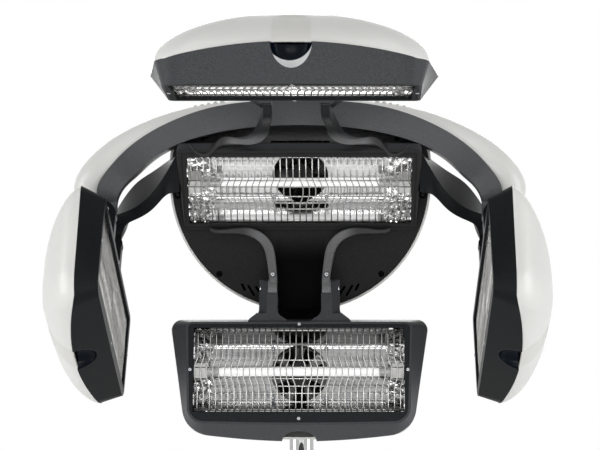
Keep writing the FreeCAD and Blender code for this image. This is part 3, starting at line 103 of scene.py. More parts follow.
class Look:
    """A node material around one Principled shader."""

    def __init__(self, name, place=Matrix(), **values):
        self.material = bpy.data.materials.new(name)
        self.material.use_nodes = True
        self.tree = self.material.node_tree
        self.shader = self.tree.nodes["Principled BSDF"]
        self.place = place
        for socket, value in values.items():
            self.shader.inputs[socket.replace("_", " ")].default_value = value

    def node(self, kind, **values):
        made = self.tree.nodes.new(kind)
        for socket, value in values.items():
            made.inputs[socket.replace("_", " ")].default_value = value
        return made

    def link(self, source, target):
        self.tree.links.new(source, target)

    def coordinates(self, stretch=(1, 1, 1)):
        """Object coordinates in the frame of the look's place, stretched."""
        texture = self.node("ShaderNodeTexCoord")
        turn = self.place.to_3x3()
        local = self.node("ShaderNodeMapping", Location=self.place.translation,
                          Rotation=turn.to_euler())
        local.vector_type = "TEXTURE"
        scale = self.node("ShaderNodeMapping", Scale=stretch)
        self.link(texture.outputs["Object"], local.inputs["Vector"])
        self.link(local.outputs["Vector"], scale.inputs["Vector"])
        return scale.outputs["Vector"]

    def noise(self, scale, detail=2.0, roughness=0.5, stretch=(1, 1, 1)):
        texture = self.node("ShaderNodeTexNoise", Scale=scale, Detail=detail, Roughness=roughness)
        self.link(self.coordinates(stretch), texture.inputs["Vector"])
        return texture.outputs["Fac"]

    def cells(self, scale):
        texture = self.node("ShaderNodeTexVoronoi", Scale=scale)
        self.link(self.coordinates(), texture.inputs["Vector"])
        return texture.outputs["Distance"]

    def axis(self, letter):
        split = self.node("ShaderNodeSeparateXYZ")
        self.link(self.coordinates(), split.inputs["Vector"])
        return split.outputs[letter]

    def math(self, operation, first, second=None):
        made = self.node("ShaderNodeMath")
        made.operation = operation
        self.link(first, made.inputs[0])
        if second is not None:
            self.link(second, made.inputs[1])
        return made.outputs[0]

    def band(self, source, low, high, start=0.0, end=1.0):
        """Smooth step from start to end as the source goes from low to high."""
        step = self.node("ShaderNodeMapRange", From_Min=low, From_Max=high, To_Min=start,
                         To_Max=end)
        step.interpolation_type = "SMOOTHSTEP"
        self.link(source, step.inputs["Value"])
        return step.outputs["Result"]

    def ramp(self, source, stops):
        """Colour ramp through (position, colour) stops."""
        ramp = self.node("ShaderNodeValToRGB")
        elements = ramp.color_ramp.elements
        while len(elements) < len(stops):
            elements.new(0.5)
        for element, (position, colour) in zip(elements, stops):
            element.position = position
            element.color = (*colour, 1)
        self.link(source, ramp.inputs["Fac"])
        return ramp.outputs["Color"]

    def grain(self, tone, scale=760, roughness=0.7):
        """Fine speckle between the two colours of a black moulding."""
        dark, light = TONES[tone]
        return self.ramp(self.noise(scale, 3, roughness), [(0.34, dark), (0.68, light)])

    def mottle(self, tone, scale, detail):
        """Soft cloudy change between the two colours of a surface."""
        dark, light = TONES[tone]
        return self.ramp(self.noise(scale, detail), [(0.3, dark), (0.7, light)])

    def blend(self, share, first, second):
        """Colour that goes from first to second by share."""
        mix = self.node("ShaderNodeMix")
        mix.data_type = "RGBA"
        self.link(share, mix.inputs["Factor"])
        self.link(first, mix.inputs["A"])
        self.link(second, mix.inputs["B"])
        return mix.outputs["Result"]

    def spread(self, source, low, high):
        """Maps a 0..1 value to low..high."""
        span = self.node("ShaderNodeMapRange", To_Min=low, To_Max=high)
        self.link(source, span.inputs["Value"])
        return span.outputs["Result"]

    def colour(self, source):
        self.link(source, self.shader.inputs["Base Color"])

    def roughness(self, source):
        self.link(source, self.shader.inputs["Roughness"])

    def soft_edges(self, radius):
        """Rounds the shading of sharp edges, as a moulding's corners are."""
        bevel = self.node("ShaderNodeBevel", Radius=radius)
        bevel.samples = BEVEL_SAMPLES
        self.link(bevel.outputs["Normal"], self.shader.inputs["Normal"])

    def bump(self, source, strength, distance):
        bump = self.node("ShaderNodeBump", Strength=strength, Distance=distance)
        before = self.shader.inputs["Normal"].links
        if before:
            self.link(before[0].from_socket, bump.inputs["Normal"])
        self.link(source, bump.inputs["Height"])
        self.link(bump.outputs["Normal"], self.shader.inputs["Normal"])


# Darker and lighter colour of each surface.
TONES = {
    # Charcoal is painted light on the top and lower casings, the band and the panel's crown.
    "charcoal": ((0.042, 0.043, 0.046), (0.070, 0.072, 0.077)),
    # Painted sheen on the brackets' straps.
    "painted_sheen_graphite": ((0.115, 0.116, 0.119), (0.18, 0.182, 0.186)),
    "black": ((0.0055, 0.006, 0.0065), (0.0125, 0.0135, 0.015)),
    "panel": ((0.018, 0.018, 0.0184), (0.032, 0.032, 0.0325)),
    "bezel": ((0.008, 0.009, 0.010), (0.019, 0.021, 0.024)),
    # Painted highlight inside the rear cover, above the rear frame.
    "painted_cove_highlight": ((0.40, 0.405, 0.41), (0.55, 0.555, 0.56)),
    # Near-black ink: painted shade on the neck and in the panel's strip between the lower brackets.
    "painted_shade_ink": ((0.0004, 0.0004, 0.0005), (0.0012, 0.0012, 0.0014)),
    "shell": ((0.665, 0.663, 0.64), (0.705, 0.703, 0.68)),
    # Painted shade in the shells' thumb channel.
    "shell_channel_painted_shade": ((0.60, 0.595, 0.565), (0.64, 0.635, 0.605)),
    "notch_glass": ((0.001, 0.002, 0.005), (0.003, 0.006, 0.011)),
    # Painted reflection in the top notch.
    "notch_painted_glint": ((0.66, 0.67, 0.68), (0.78, 0.79, 0.80)),
    "wire": ((0.43, 0.425, 0.41), (0.58, 0.575, 0.56)),
    "lamp_lit": ((0.9, 0.9, 0.9), (0.97, 0.97, 0.97)),
    "lamp_end": ((0.42, 0.42, 0.42), (0.66, 0.66, 0.66)),
    "ceramic": ((0.78, 0.775, 0.75), (0.88, 0.875, 0.86)),
    "fan": ((0.004, 0.004, 0.005), (0.01, 0.01, 0.011)),
    "chrome": ((0.42, 0.43, 0.42), (0.5, 0.51, 0.495)),
    "turned_steel": ((0.33, 0.34, 0.35), (0.47, 0.48, 0.49)),
    "blackened_steel": ((0.008, 0.008, 0.009), (0.02, 0.02, 0.021)),
    "button": ((0.6, 0.6, 0.575), (0.69, 0.685, 0.66)),
}
# Painted light: the top and lower casings are paler charcoal than the side ones, though all are one black
# moulding.
CASING_PAINTED_LIGHT_TONES = {"top": "charcoal", "lower": "charcoal", "left": "black", "right": "black"}
BEVEL_SAMPLES = 4
SHELL_CLOUD = {"scale": 9, "detail": 4}


def white_shell(name):
    look = Look(name, Coat_Weight=0.3, Coat_Roughness=0.14)
    look.soft_edges(radius=0.0012)
    look.colour(look.mottle("shell", **SHELL_CLOUD))
    look.roughness(look.spread(look.noise(scale=60, detail=3), low=0.32, high=0.44))
    look.bump(look.noise(scale=620, detail=2), strength=0.05, distance=0.0004)
    return look


CHANNEL_HALF = 0.022
CHANNEL_EDGE = 0.0025
CHANNEL_START = 0.088
CHANNEL_LEAD = 0.02


def head_shell_look(name):
    """White shell with the shallow thumb channel above the finger notch; the channel's darker colour is painted
    shade.
    """
    look = white_shell(f"{name}_shell_white")
    look.place = PLACES[name]
    reach = look.math("ABSOLUTE", look.axis("X"))
    strip = look.band(reach, CHANNEL_HALF - CHANNEL_EDGE, CHANNEL_HALF + CHANNEL_EDGE, start=1,
                      end=0)
    forward = look.band(look.axis("Y"), CHANNEL_START, CHANNEL_START + CHANNEL_LEAD)
    channel = look.math("MULTIPLY", strip, forward)
    plain = look.mottle("shell", **SHELL_CLOUD)
    # Painted shade: the channel's colour is darker.
    shaded = look.mottle("shell_channel_painted_shade", **SHELL_CLOUD)
    look.colour(look.blend(channel, plain, shaded))
    hollow = look.math("SUBTRACT", look.noise(scale=3, detail=1), channel)
    look.bump(hollow, strength=0.5, distance=0.0012)
    return look.material


def black_plastic(name, tone, rough, grain, shine=0.07):
    """Spark-eroded black moulding: fine grain, with a faint grey speckle in the colour."""
    look = Look(name, Specular_IOR_Level=shine)
    look.soft_edges(radius=0.0011)
    look.colour(look.grain(tone))
    look.roughness(look.spread(look.noise(scale=420, detail=3), low=rough - 0.05, high=rough + 0.07))
    look.bump(look.noise(scale=900, detail=2, roughness=0.6), strength=grain, distance=0.0006)
    look.bump(look.noise(scale=14, detail=2), strength=0.04, distance=0.002)
    return look


# The finger notch in a head's local frame: an ellipsoid's place, lean and radii.
NOTCH_CENTRE = Vector((0, 0.15468, 0.045))
NOTCH_LEAN = -math.atan2(0.01768, 0.045)
NOTCH_RADII = Vector((0.023, 0.015, 0.030))
# The polish ends just outside the ellipsoid, at a share of its radii.
NOTCH_SKIN = 1.012
NOTCH_EDGE = 0.006
CASING_ROUGH = (0.31, 0.43)
NOTCH_ROUGH = (0.02, 0.06)
# The painted reflection in the top notch, a pale crescent, lies outside a wider ellipse, moved by a share of the
# radii.
PAINTED_GLINT_WIDE = 0.88
PAINTED_GLINT_MOVE = (-0.05, 0, -0.2)
PAINTED_GLINT_EDGE = (0.99, 1.02)


def casing_look(name):
    """Black casing whose finger notch is polished; the top and lower casings are paler charcoal as painted light,
    and the top notch has a pale crescent of painted reflection.
    """
    tone = CASING_PAINTED_LIGHT_TONES[name]
    look = black_plastic(f"{name}_casing_black", tone, rough=0.36, grain=0.22)
    notch = Matrix.Translation(NOTCH_CENTRE) @ Euler((NOTCH_LEAN, 0, 0)).to_matrix().to_4x4()
    look.place = PLACES[name] @ notch
    shrink = [1 / radius for radius in NOTCH_RADII]
    length = look.node("ShaderNodeVectorMath")
    length.operation = "LENGTH"
    look.link(look.coordinates(shrink), length.inputs[0])
    inside = look.band(length.outputs["Value"], NOTCH_SKIN, NOTCH_SKIN + NOTCH_EDGE, start=1, end=0)
    rough = look.spread(look.noise(scale=420, detail=3), *CASING_ROUGH)
    smooth = look.spread(look.noise(scale=300, detail=3), *NOTCH_ROUGH)
    polish = look.node("ShaderNodeMix")
    look.link(inside, polish.inputs["Factor"])
    look.link(rough, polish.inputs["A"])
    look.link(smooth, polish.inputs["B"])
    look.roughness(polish.outputs["Result"])
    glass = look.mottle("notch_glass", scale=20, detail=3)
    # Painted reflection: a pale crescent in the top notch.
    if name == "top":
        glass = look.blend(painted_glint(look), glass, look.mottle("notch_painted_glint", scale=30, detail=3))
    look.colour(look.blend(inside, look.grain(tone), glass))
    return look.material


def painted_glint(look):
    """1 in the crescent of painted reflection along the lower edge of the notch, in the notch's own frame."""
    lift = look.node("ShaderNodeVectorMath")
    lift.inputs[1].default_value = PAINTED_GLINT_MOVE
    stretch = (PAINTED_GLINT_WIDE / NOTCH_RADII.x, 0, 1 / NOTCH_RADII.z)
    look.link(look.coordinates(stretch), lift.inputs[0])
    reach = look.node("ShaderNodeVectorMath")
    reach.operation = "LENGTH"
    look.link(lift.outputs["Vector"], reach.inputs[0])
    return look.band(reach.outputs["Value"], *PAINTED_GLINT_EDGE)


# Where the panel's tones change: beside and above the neck's strip of painted shade, and below the crown's painted
# highlight.
SHADE_STRIP_HALF = (0.030, 0.040)
SHADE_STRIP_TOP = (0.275, 0.325)
CROWN_HIGHLIGHT_RISE = (0.412, 0.424)


def panel_look():
    """Grained panel: paler at its crown, a painted highlight, and deep black in the strip between the lower
    brackets, painted shade.
    """
    look = black_plastic("panel_black", "panel", rough=0.42, grain=0.3, shine=0.02)
    reach = look.math("ABSOLUTE", look.axis("X"))
    # Painted shade: the strip between the lower brackets is near-black.
    strip = look.band(reach, *SHADE_STRIP_HALF, start=1, end=0)
    below = look.band(look.axis("Z"), *SHADE_STRIP_TOP, start=1, end=0)
    neck = look.math("MULTIPLY", strip, below)
    # Painted highlight: the crown is paler charcoal.
    crown_highlight = look.band(look.axis("Z"), *CROWN_HIGHLIGHT_RISE)
    paint = look.blend(crown_highlight, look.grain("panel"), look.grain("charcoal"))
    look.colour(look.blend(neck, paint, look.grain("painted_shade_ink", scale=20, roughness=0.5)))
    return look.material


# Where the straps' painted sheen changes: in height, where the upper ones turn black as painted shade, and in
# reach from the middle.
STRAP_SHADE_RISE = (0.432, 0.447)
STRAP_SHEEN_REACH = {"upper": (0.086, 0.104), "lower": (0.052, 0.080)}


def strap_look(level):
    """Pale satin straps with painted sheen that fade into the black of the frame they run along; higher up the
    upper ones turn black, painted shade.
    """
    look = black_plastic(f"{level}_strap", "painted_sheen_graphite", rough=0.36, grain=0.25, shine=0.2)
    sheen_fade = look.band(look.math("ABSOLUTE", look.axis("X")), *STRAP_SHEEN_REACH[level])
    paint = look.blend(sheen_fade, look.grain("painted_sheen_graphite"), look.grain("panel", scale=700))
    if level == "upper":
        # Painted shade: the upper straps turn black higher up.
        shade_above = look.band(look.axis("Z"), *STRAP_SHADE_RISE)
        paint = look.blend(shade_above, paint, look.grain("black", scale=740))
    look.colour(paint)
    return look.material


COVER_MIDDLE = (0, -0.02, 0.35)
# A face looks outward where its normal points away from the cover's middle.
OUTWARD_EDGE = (-0.002, 0.002)
# Inside the cover, a painted highlight makes the stretch above the rear frame satin grey between these heights,
# and only a share of that grey is left towards the sides.
COVE_FOOT = (0.430, 0.446)
COVE_TOP = (0.450, 0.470)
COVE_REACH = (0.06, 0.15)
COVE_SIDES = 0.3


def rear_cover_look():
    """White shell outside; black inside as painted shade, with a painted highlight of satin grey in the stretch
    above the rear frame.
    """
    look = white_shell("rear_cover_white")
    place = look.node("ShaderNodeVectorMath")
    place.operation = "SUBTRACT"
    place.inputs[1].default_value = COVER_MIDDLE
    look.link(look.coordinates(), place.inputs[0])
    facing_out = look.node("ShaderNodeVectorMath")
    facing_out.operation = "DOT_PRODUCT"
    look.link(place.outputs["Vector"], facing_out.inputs[0])
    look.link(look.node("ShaderNodeTexCoord").outputs["Normal"], facing_out.inputs[1])
    outside = look.band(facing_out.outputs["Value"], *OUTWARD_EDGE)
    rise = look.axis("Z")
    under = look.band(rise, *COVE_TOP, start=1, end=0)
    painted_cove_highlight = look.math("MULTIPLY", look.band(rise, *COVE_FOOT), under)
    reach = look.math("ABSOLUTE", look.axis("X"))
    painted_cove_highlight = look.math("MULTIPLY", painted_cove_highlight, look.band(reach, *COVE_REACH, start=1, end=COVE_SIDES))
    # Inside the cover: black as painted shade, with the painted highlight above the rear frame.
    inner = look.blend(painted_cove_highlight, look.grain("black", scale=400, roughness=0.5), look.grain("painted_cove_highlight"))
    look.colour(look.blend(outside, inner, look.mottle("shell", **SHELL_CLOUD)))
    return look.material


def wire_nickel():
    look = Look("wire_nickel", Metallic=0.85)
    look.colour(look.mottle("wire", scale=120, detail=4))
    look.roughness(look.spread(look.noise(scale=500, detail=3), low=0.16, high=0.3))
    look.bump(look.noise(scale=900, detail=2), strength=0.06, distance=0.0002)
    return look.material


HAMMERED_LONG = {"rear": 0.030, "head": 0.019}
HAMMER_SCALE = 120
HAMMER_EDGE = 0.006
# Painted shade: the lower head's reflector is darker than the others, though all are the same aluminium.
SHADED_SHEET_TONES = {"lower": (0.27, 0.48)}
BRIGHT_TONES = (0.64, 0.88)


def bright_sheet(name):
    """Bright-rolled aluminium: streaks along the lamp, hammered ends beside the sockets; darker on the lower head,
    as painted shade.
    """
    look = Look(f"{name}_reflector_sheet", PLACES[name], Metallic=1.0)
    kind = "rear" if name == "rear" else "head"
    dark, light = SHADED_SHEET_TONES.get(name, BRIGHT_TONES)
    long = HAMMERED_LONG[kind]
    streaks = look.noise(scale=200, detail=4, roughness=0.6, stretch=(0.05, 1, 1))
    look.colour(look.ramp(streaks, [(0.3, (dark, dark, dark)), (0.7, (light, light, light))]))
    look.roughness(look.spread(streaks, low=0.06, high=0.17))
    reach = look.math("ABSOLUTE", look.axis("X"))
    half = opening(name)["half"]
    end = look.band(reach, half - long - HAMMER_EDGE, half - long)
    dimples = look.math("MULTIPLY", look.cells(HAMMER_SCALE), end)
    look.bump(look.noise(scale=26, detail=3), strength=0.2, distance=0.003)
    look.bump(dimples, strength=0.6, distance=0.006)
    return look.material


LAMP_BRIGHT_HALF = 0.105
LAMP_GLOW = 0.45
LAMP_END_EDGE = 0.003
# Scale of the wave texture that makes the tube's rings.
RING_SCALE = 11.764706


def lamp_quartz(name):
    """Frosted quartz tube that glows faintly along its middle, with plain grey ends."""
    look = Look(f"{name}_lamp_quartz", PLACES[name], Coat_Weight=1.0, Coat_Roughness=0.04,
                Emission_Color=(1, 1, 1, 1))
    reach = look.math("ABSOLUTE", look.axis("X"))
    lit = look.band(reach, LAMP_BRIGHT_HALF, LAMP_BRIGHT_HALF + LAMP_END_EDGE, start=1, end=0)
    ends = look.mottle("lamp_end", scale=140, detail=4)
    glow = look.mottle("lamp_lit", scale=90, detail=3)
    look.colour(look.blend(lit, ends, glow))
    look.link(look.spread(lit, low=0.0, high=LAMP_GLOW), look.shader.inputs["Emission Strength"])
    look.roughness(look.spread(look.noise(scale=200, detail=3), low=0.12, high=0.3))
    rings = look.node("ShaderNodeTexWave", Scale=RING_SCALE)
    look.link(look.coordinates(), rings.inputs["Vector"])
    look.bump(rings.outputs["Fac"], strength=0.2, distance=0.0006)
    return look.material


def lamp_ceramic():
    look = Look("lamp_ceramic")
    look.soft_edges(radius=0.0006)
    look.colour(look.mottle("ceramic", scale=150, detail=5))
    look.roughness(look.spread(look.noise(scale=400, detail=3), low=0.5, high=0.7))
    look.bump(look.noise(scale=1500, detail=3), strength=0.12, distance=0.0002)
    return look.material


def fan_black():
    look = Look("fan_black", Specular_IOR_Level=0.2, Coat_Weight=0.2, Coat_Roughness=0.03)
    look.soft_edges(radius=0.0004)
    look.colour(look.mottle("fan", scale=60, detail=4))
    look.roughness(look.spread(look.noise(scale=300, detail=3), low=0.2, high=0.34))
    look.bump(look.noise(scale=700, detail=2), strength=0.05, distance=0.0002)
    return look.material


def chrome_tube():
    look = Look("chrome_tube", Metallic=1.0)
    look.soft_edges(radius=0.0005)
    look.colour(look.mottle("chrome", scale=40, detail=4))
    look.roughness(look.spread(look.noise(scale=300, detail=4), low=0.05, high=0.12))
    drawn = look.noise(scale=30, detail=2, stretch=(1, 1, 0.1))
    look.bump(drawn, strength=0.03, distance=0.001)
    return look.material


def turned_steel():
    look = Look("turned_steel", Metallic=1.0)
    look.colour(look.mottle("turned_steel", scale=80, detail=4))
    look.roughness(look.spread(look.noise(scale=900, detail=3), low=0.2, high=0.34))
    look.bump(look.noise(scale=1200, detail=2), strength=0.08, distance=0.0001)
    return look.material


def blackened_steel():
    look = Look("blackened_steel", Metallic=0.6)
    look.colour(look.mottle("blackened_steel", scale=90, detail=4))
    look.roughness(look.spread(look.noise(scale=600, detail=3), low=0.3, high=0.45))
    look.bump(look.noise(scale=1100, detail=2), strength=0.08, distance=0.0001)
    return look.material


def button_plastic():
    look = Look("button_plastic")
    look.soft_edges(radius=0.0005)
    look.colour(look.mottle("button", scale=50, detail=4))
    look.roughness(look.spread(look.noise(scale=400, detail=3), low=0.35, high=0.5))
    look.bump(look.noise(scale=1400, detail=2), strength=0.08, distance=0.0002)
    return look.material


LOOKS = {
    "white_shell": white_shell("white_shell").material,
    "black_casing": black_plastic("black_casing", "black", rough=0.34, grain=0.22).material,
    "black_bezel": black_plastic("black_bezel", "bezel", rough=0.42, grain=0.2).material,
    "grille_wire": wire_nickel(),
    "lamp_ceramic": lamp_ceramic(),
    "fan_plastic": fan_black(),
    "chrome_tube": chrome_tube(),
    "steel_pin": turned_steel(),
    "button_plastic": button_plastic(),
}
BLACK_STEEL = blackened_steel()

# Looks of single nodes, where they differ from their slot's.
OWN_LOOKS = {
    "front_panel": panel_look(),
    "rear_bezel": black_plastic("rear_frame_black", "panel", rough=0.42, grain=0.2).material,
    # The neck's near-black ink is painted shade; the panel's screws and side plugs share this look.
    "neck": black_plastic("neck_gloss", "painted_shade_ink", rough=0.12, grain=0.02, shine=0.04).material,
    # The band's paler charcoal is painted light on a black moulding.
    "arch_band": black_plastic("band_satin", "charcoal", rough=0.3, grain=0.3, shine=0.3).material,
    "lower_brackets": strap_look("lower"),
    "upper_brackets": strap_look("upper"),
    "rear_cover": rear_cover_look(),
}
for heater in HEATERS:
    OWN_LOOKS[f"{heater}_reflector"] = bright_sheet(heater)
    OWN_LOOKS[f"{heater}_lamp"] = lamp_quartz(heater)
for head in HEADS:
    OWN_LOOKS[f"{head}_shell"] = head_shell_look(head)
    OWN_LOOKS[f"{head}_casing"] = casing_look(head)

for part in frame["record"]["subparts"]:
    cad = NODES[part["node"]]
    cad.data.materials.clear()
    cad.data.materials.append(OWN_LOOKS.get(part["node"]) or LOOKS[part["material_slot"]])

# --------------------------------------------------------------------------- mesh helpers


def piece(name, points, faces, look, body, place=Matrix(), smooth=True):
    """A mesh piece that rides on a body; its points are given in the frame of place."""
    mesh = bpy.data.meshes.new(name)
    mesh.from_pydata([place @ Vector(p) for p in points], [], faces)
    mesh.validate()
    mesh.materials.append(look)
    if smooth:
        mesh.shade_smooth()
    made = bpy.data.objects.new(name, mesh)
    bpy.context.scene.collection.objects.link(made)
    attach(made, body)
    return made


def merge(parts):
    """Joins (points, faces) pairs into one pair."""
    points = []
    faces = []
    for more_points, more_faces in parts:
        start = len(points)
        points += more_points
        faces += [[start + i for i in face] for face in more_faces]
    return points, faces


def swept(path, radius, sides=10):
    """Round wire along a path of points, closed at both ends."""
    points = []
    faces = []
    last = len(path) - 1
    side = None
    for i, here in enumerate(path):
        ahead = (path[min(i + 1, last)] - path[max(i - 1, 0)]).normalized()
        if side is None:
            side = ahead.orthogonal().normalized()
        side = (side - ahead * side.dot(ahead)).normalized()
        up = ahead.cross(side)
        for k in range(sides):
            turn = 2 * math.pi * k / sides
            points.append(here + (side * math.cos(turn) + up * math.sin(turn)) * radius)
    for i in range(last):
        for k in range(sides):
            a = i * sides + k
            b = i * sides + (k + 1) % sides
            faces.append([a, b, b + sides, a + sides])
    faces.append(list(range(sides))[::-1])
    faces.append([last * sides + k for k in range(sides)])
    return points, faces


def turned(profile, sides, shape=None):
    """Solid of revolution about z through (radius, height) pairs; shape scales each ring."""
    points = []
    faces = []
    for ring, (radius, height) in enumerate(profile):
        for k in range(sides):
            turn = 2 * math.pi * k / sides
            reach = radius * (shape(ring, turn) if shape else 1)
            points.append(Vector((reach * math.cos(turn), reach * math.sin(turn), height)))
    for i in range(len(profile) - 1):
        for k in range(sides):
            a = i * sides + k
            b = i * sides + (k + 1) % sides
            faces.append([a, b, b + sides, a + sides])
    faces.append(list(range(sides))[::-1])
    start = (len(profile) - 1) * sides
    faces.append([start + k for k in range(sides)])
    return points, faces


def smooth_run(corners, steps=5, share=0.45):
    """Points along straight runs whose corners are rounded by quadratic arcs."""
    path = [corners[0]]
    for i in range(1, len(corners) - 1):
        before, corner, after = corners[i - 1], corners[i], corners[i + 1]
        reach = share * min((corner - before).length, (after - corner).length)
        start = corner + (before - corner).normalized() * reach
        end = corner + (after - corner).normalized() * reach
        for k in range(steps + 1):
            t = k / steps
            path.append(start * (1 - t) ** 2 + corner * 2 * t * (1 - t) + end * t ** 2)
    path.append(corners[-1])
    return path


# --------------------------------------------------------------------------- screws

SCREW_SIDES = 32
# Rings of a pan head as shares of its radius and height. The last two shape its cross recess.
PAN_HEAD = [(1, 0), (1, 0.5), (0.88, 0.85), (0.66, 1), (0.56, 0.97), (0.42, 0.3)]
CROSS_RING = 4
CROSS_WAIST = 0.45


def screw_form(radius, height):
    """Pan head with a cross recess, its seat at z = 0 and its crown towards +z."""

    def recess(ring, turn):
        if ring < CROSS_RING:
            return 1.0
        return CROSS_WAIST + (1 - CROSS_WAIST) * abs(math.cos(2 * turn)) ** 3

    profile = [(radius * wide, height * high) for wide, high in PAN_HEAD]
    return turned(profile, SCREW_SIDES, recess)


def repeated(form, places):
    """One (points, faces) form at several places, as one pair."""
    points, faces = form
    return merge([([place @ p for p in points], faces) for place in places])


def screws(name, body, places, radius, height, look, slot=None):
    """Several screws as one piece; each place is a matrix whose z axis leaves the surface."""
    points, faces = repeated(screw_form(radius, height), places)
    piece(name, points, faces, look, body)


def facing(point, out):
    """Matrix at a point whose z axis is out."""
    turn = Vector((0, 0, 1)).rotation_difference(Vector(out)).to_matrix().to_4x4()
    return Matrix.Translation(point) @ turn


FRONT = (0, 0, -1)
# Screw heads: radius and height.
BEZEL_SCREW = (0.0023, 0.0012)
PANEL_SCREW = (0.0038, 0.0018)
LOWER_BRACKET_SCREW = (0.0031, 0.0014)
UPPER_BRACKET_SCREW = (0.0012, 0.0007)
CONTROL_SCREW = (0.0021, 0.0011)
BEZEL_SCREW_SINK = 0.0002
BEZEL_SIDE_INSET = 0.0045
BEZEL_BACK_INSET = 0.0032
BEZEL_FRONT_INSET = 0.006


def bezel_screws(name):
    reach = RIM_HALF - BEZEL_SIDE_INSET
    seats = [(0, BEZEL_BACK_INSET), (0, RIM_REACH - BEZEL_FRONT_INSET),
             (-reach, middle(name)), (reach, middle(name))]
    places = [PLACES[name] @ facing((x, y, BEZEL_SCREW_SINK), FRONT) for x, y in seats]
    screws(f"{name}_bezel_screws", body_name(name), places, *BEZEL_SCREW, LOOKS["steel_pin"],
           "steel_pin")


FAN_NUT_INSET = 0.003
# Domed nut on its washer, as (radius, height) pairs.
FAN_NUT = [(0.0030, -0.0006), (0.0030, 0.0012), (0.0026, 0.0014), (0.0026, 0.0024),
           (0.0022, 0.0034), (0.0014, 0.0040), (0.0005, 0.0042)]


def fan_nuts(name):
    """Domed nuts around the fan's hole, on the reflector's floor."""
    half = FAN_HOLE_PITCH / 2
    places = [PLACES[name] @ facing((x, middle(name) + y, TROUGH_FLOOR), FRONT)
              for x in (-half, half) for y in (-half + FAN_NUT_INSET, half - FAN_NUT_INSET)]
    points, faces = repeated(turned(FAN_NUT, SCREW_SIDES), places)
    piece(f"{name}_fan_nuts", points, faces, LOOKS["steel_pin"], body_name(name))


RECESS_REACH = PANEL_RADIUS - 0.0062
RECESS_ANGLES = (-97, -41, 41, 97)
RECESS_ROOF = (0.132, 0.119)
RECESS_FLOOR = PANEL_FRONT + 0.004


def panel_screws():
    seats = [(side * RECESS_ROOF[0], RECESS_ROOF[1]) for side in SIDES]
    for angle in RECESS_ANGLES:
        turn = math.radians(angle)
        seats.append((RECESS_REACH * math.sin(turn), PANEL_RISE - RECESS_REACH * math.cos(turn)))
    places = [facing(HOUSING_ORIGIN + Vector((x, RECESS_FLOOR, z)), (0, -1, 0)) for x, z in seats]
    screws("panel_screws", "housing", places, *PANEL_SCREW, OWN_LOOKS["neck"])


# Seats of the bracket screws in the heads' local frames: y and z.
LOWER_SCREW_SEAT = (-0.065, 0.00675)
UPPER_SCREW_SEAT = (-0.0615, 0.0053)
UPPER_SCREW_SHIFT = 0.0024


def bracket_screws():
    """One screw in each lower counterbore, two on the under side of each upper bracket."""
    places = [PLACES["lower"] @ facing((side * HINGE_SPREAD / 2, *LOWER_SCREW_SEAT), FRONT)
              for side in SIDES]
    screws("lower_bracket_screws", "housing", places, *LOWER_BRACKET_SCREW, LOOKS["steel_pin"],
           "steel_pin")
    places = [PLACES["top"] @ facing((side * (HINGE_SPREAD / 2 + shift), *UPPER_SCREW_SEAT), FRONT)
              for side in SIDES for shift in (-UPPER_SCREW_SHIFT, UPPER_SCREW_SHIFT)]
    screws("upper_bracket_screws", "housing", places, *UPPER_BRACKET_SCREW, LOOKS["steel_pin"],
           "steel_pin")


PLUG_PLACE = (0.1667, 0.0408)
# Shallow dished plug, as (radius, height) pairs.
PLUG = [(0.0052, -0.0004), (0.0052, 0.0005), (0.0044, 0.0009), (0.0036, 0.0004), (0.0018, 0.0001)]


def side_plugs():
    """Black plugs in the panel's rim beside the rear heater."""
    places = [facing(HOUSING_ORIGIN + Vector((side * PLUG_PLACE[0], PANEL_FRONT, PLUG_PLACE[1])),
                     (0, -1, 0)) for side in SIDES]
    points, faces = repeated(turned(PLUG, SCREW_SIDES), places)
    piece("side_plugs", points, faces, OWN_LOOKS["neck"], "housing")


STEM_RADIUS = 0.017
SLOT_HALF = 0.004
SLOT_SHOULDER = 0.008
SLOT_TOP = 0.0214
SLOT_RIM = 0.0011
SLOT_SINK = 0.0006
SLOT_TIP = 0.0002
SLOT_RIM_PROUD = 0.00006
SLOT_PROUD = 0.00014


def slot_plate(name, grow, proud, look):
    """Thin plate round the front of the stem, with half an ellipse for its top."""
    rows = 24
    columns = 10
    inner = STEM_RADIUS - SLOT_SINK
    outer = STEM_RADIUS + proud
    rise = SLOT_TOP + grow - SLOT_SHOULDER
    points = []
    for radius in (inner, outer):
        for i in range(rows + 1):
            height = (SLOT_TOP + grow) * i / rows
            share = max(0.0, (height - SLOT_SHOULDER) / rise)
            half = max((SLOT_HALF + grow) * math.sqrt(max(0.0, 1 - share ** 2)), SLOT_TIP)
            for k in range(columns + 1):
                turn = half * (2 * k / columns - 1) / STEM_RADIUS
                points.append(Vector((radius * math.sin(turn), -radius * math.cos(turn), height)))
    wide = columns + 1
    skin = wide * (rows + 1)
    faces = []
    for i in range(rows):
        for k in range(columns):
            a = i * wide + k
            quad = [a, a + 1, a + wide + 1, a + wide]
            faces.append(quad[::-1])
            faces.append([skin + n for n in quad])
    rim = list(range(wide))
    rim += [i * wide + columns for i in range(1, rows + 1)]
    rim += [rows * wide + k for k in range(columns - 1, -1, -1)]
    rim += [i * wide for i in range(rows - 1, 0, -1)]
    for a, b in zip(rim, rim[1:] + rim[:1]):
        faces.append([a, b, skin + b, skin + a])
    piece(name, points, faces, look, "stem", smooth=False)


def stem_slot():
    """Dark slot with a pale rim at the foot of the tube."""
    slot_plate("stem_slot_rim", SLOT_RIM, SLOT_RIM_PROUD, LOOKS["button_plastic"])
    slot_plate("stem_slot", 0.0, SLOT_PROUD, BLACK_STEEL)


COVER_BACK = 0.158
CONTROL_THICK = 0.006
CONTROL_RISE = 0.060
CONTROL_HALF = (0.049, 0.025)


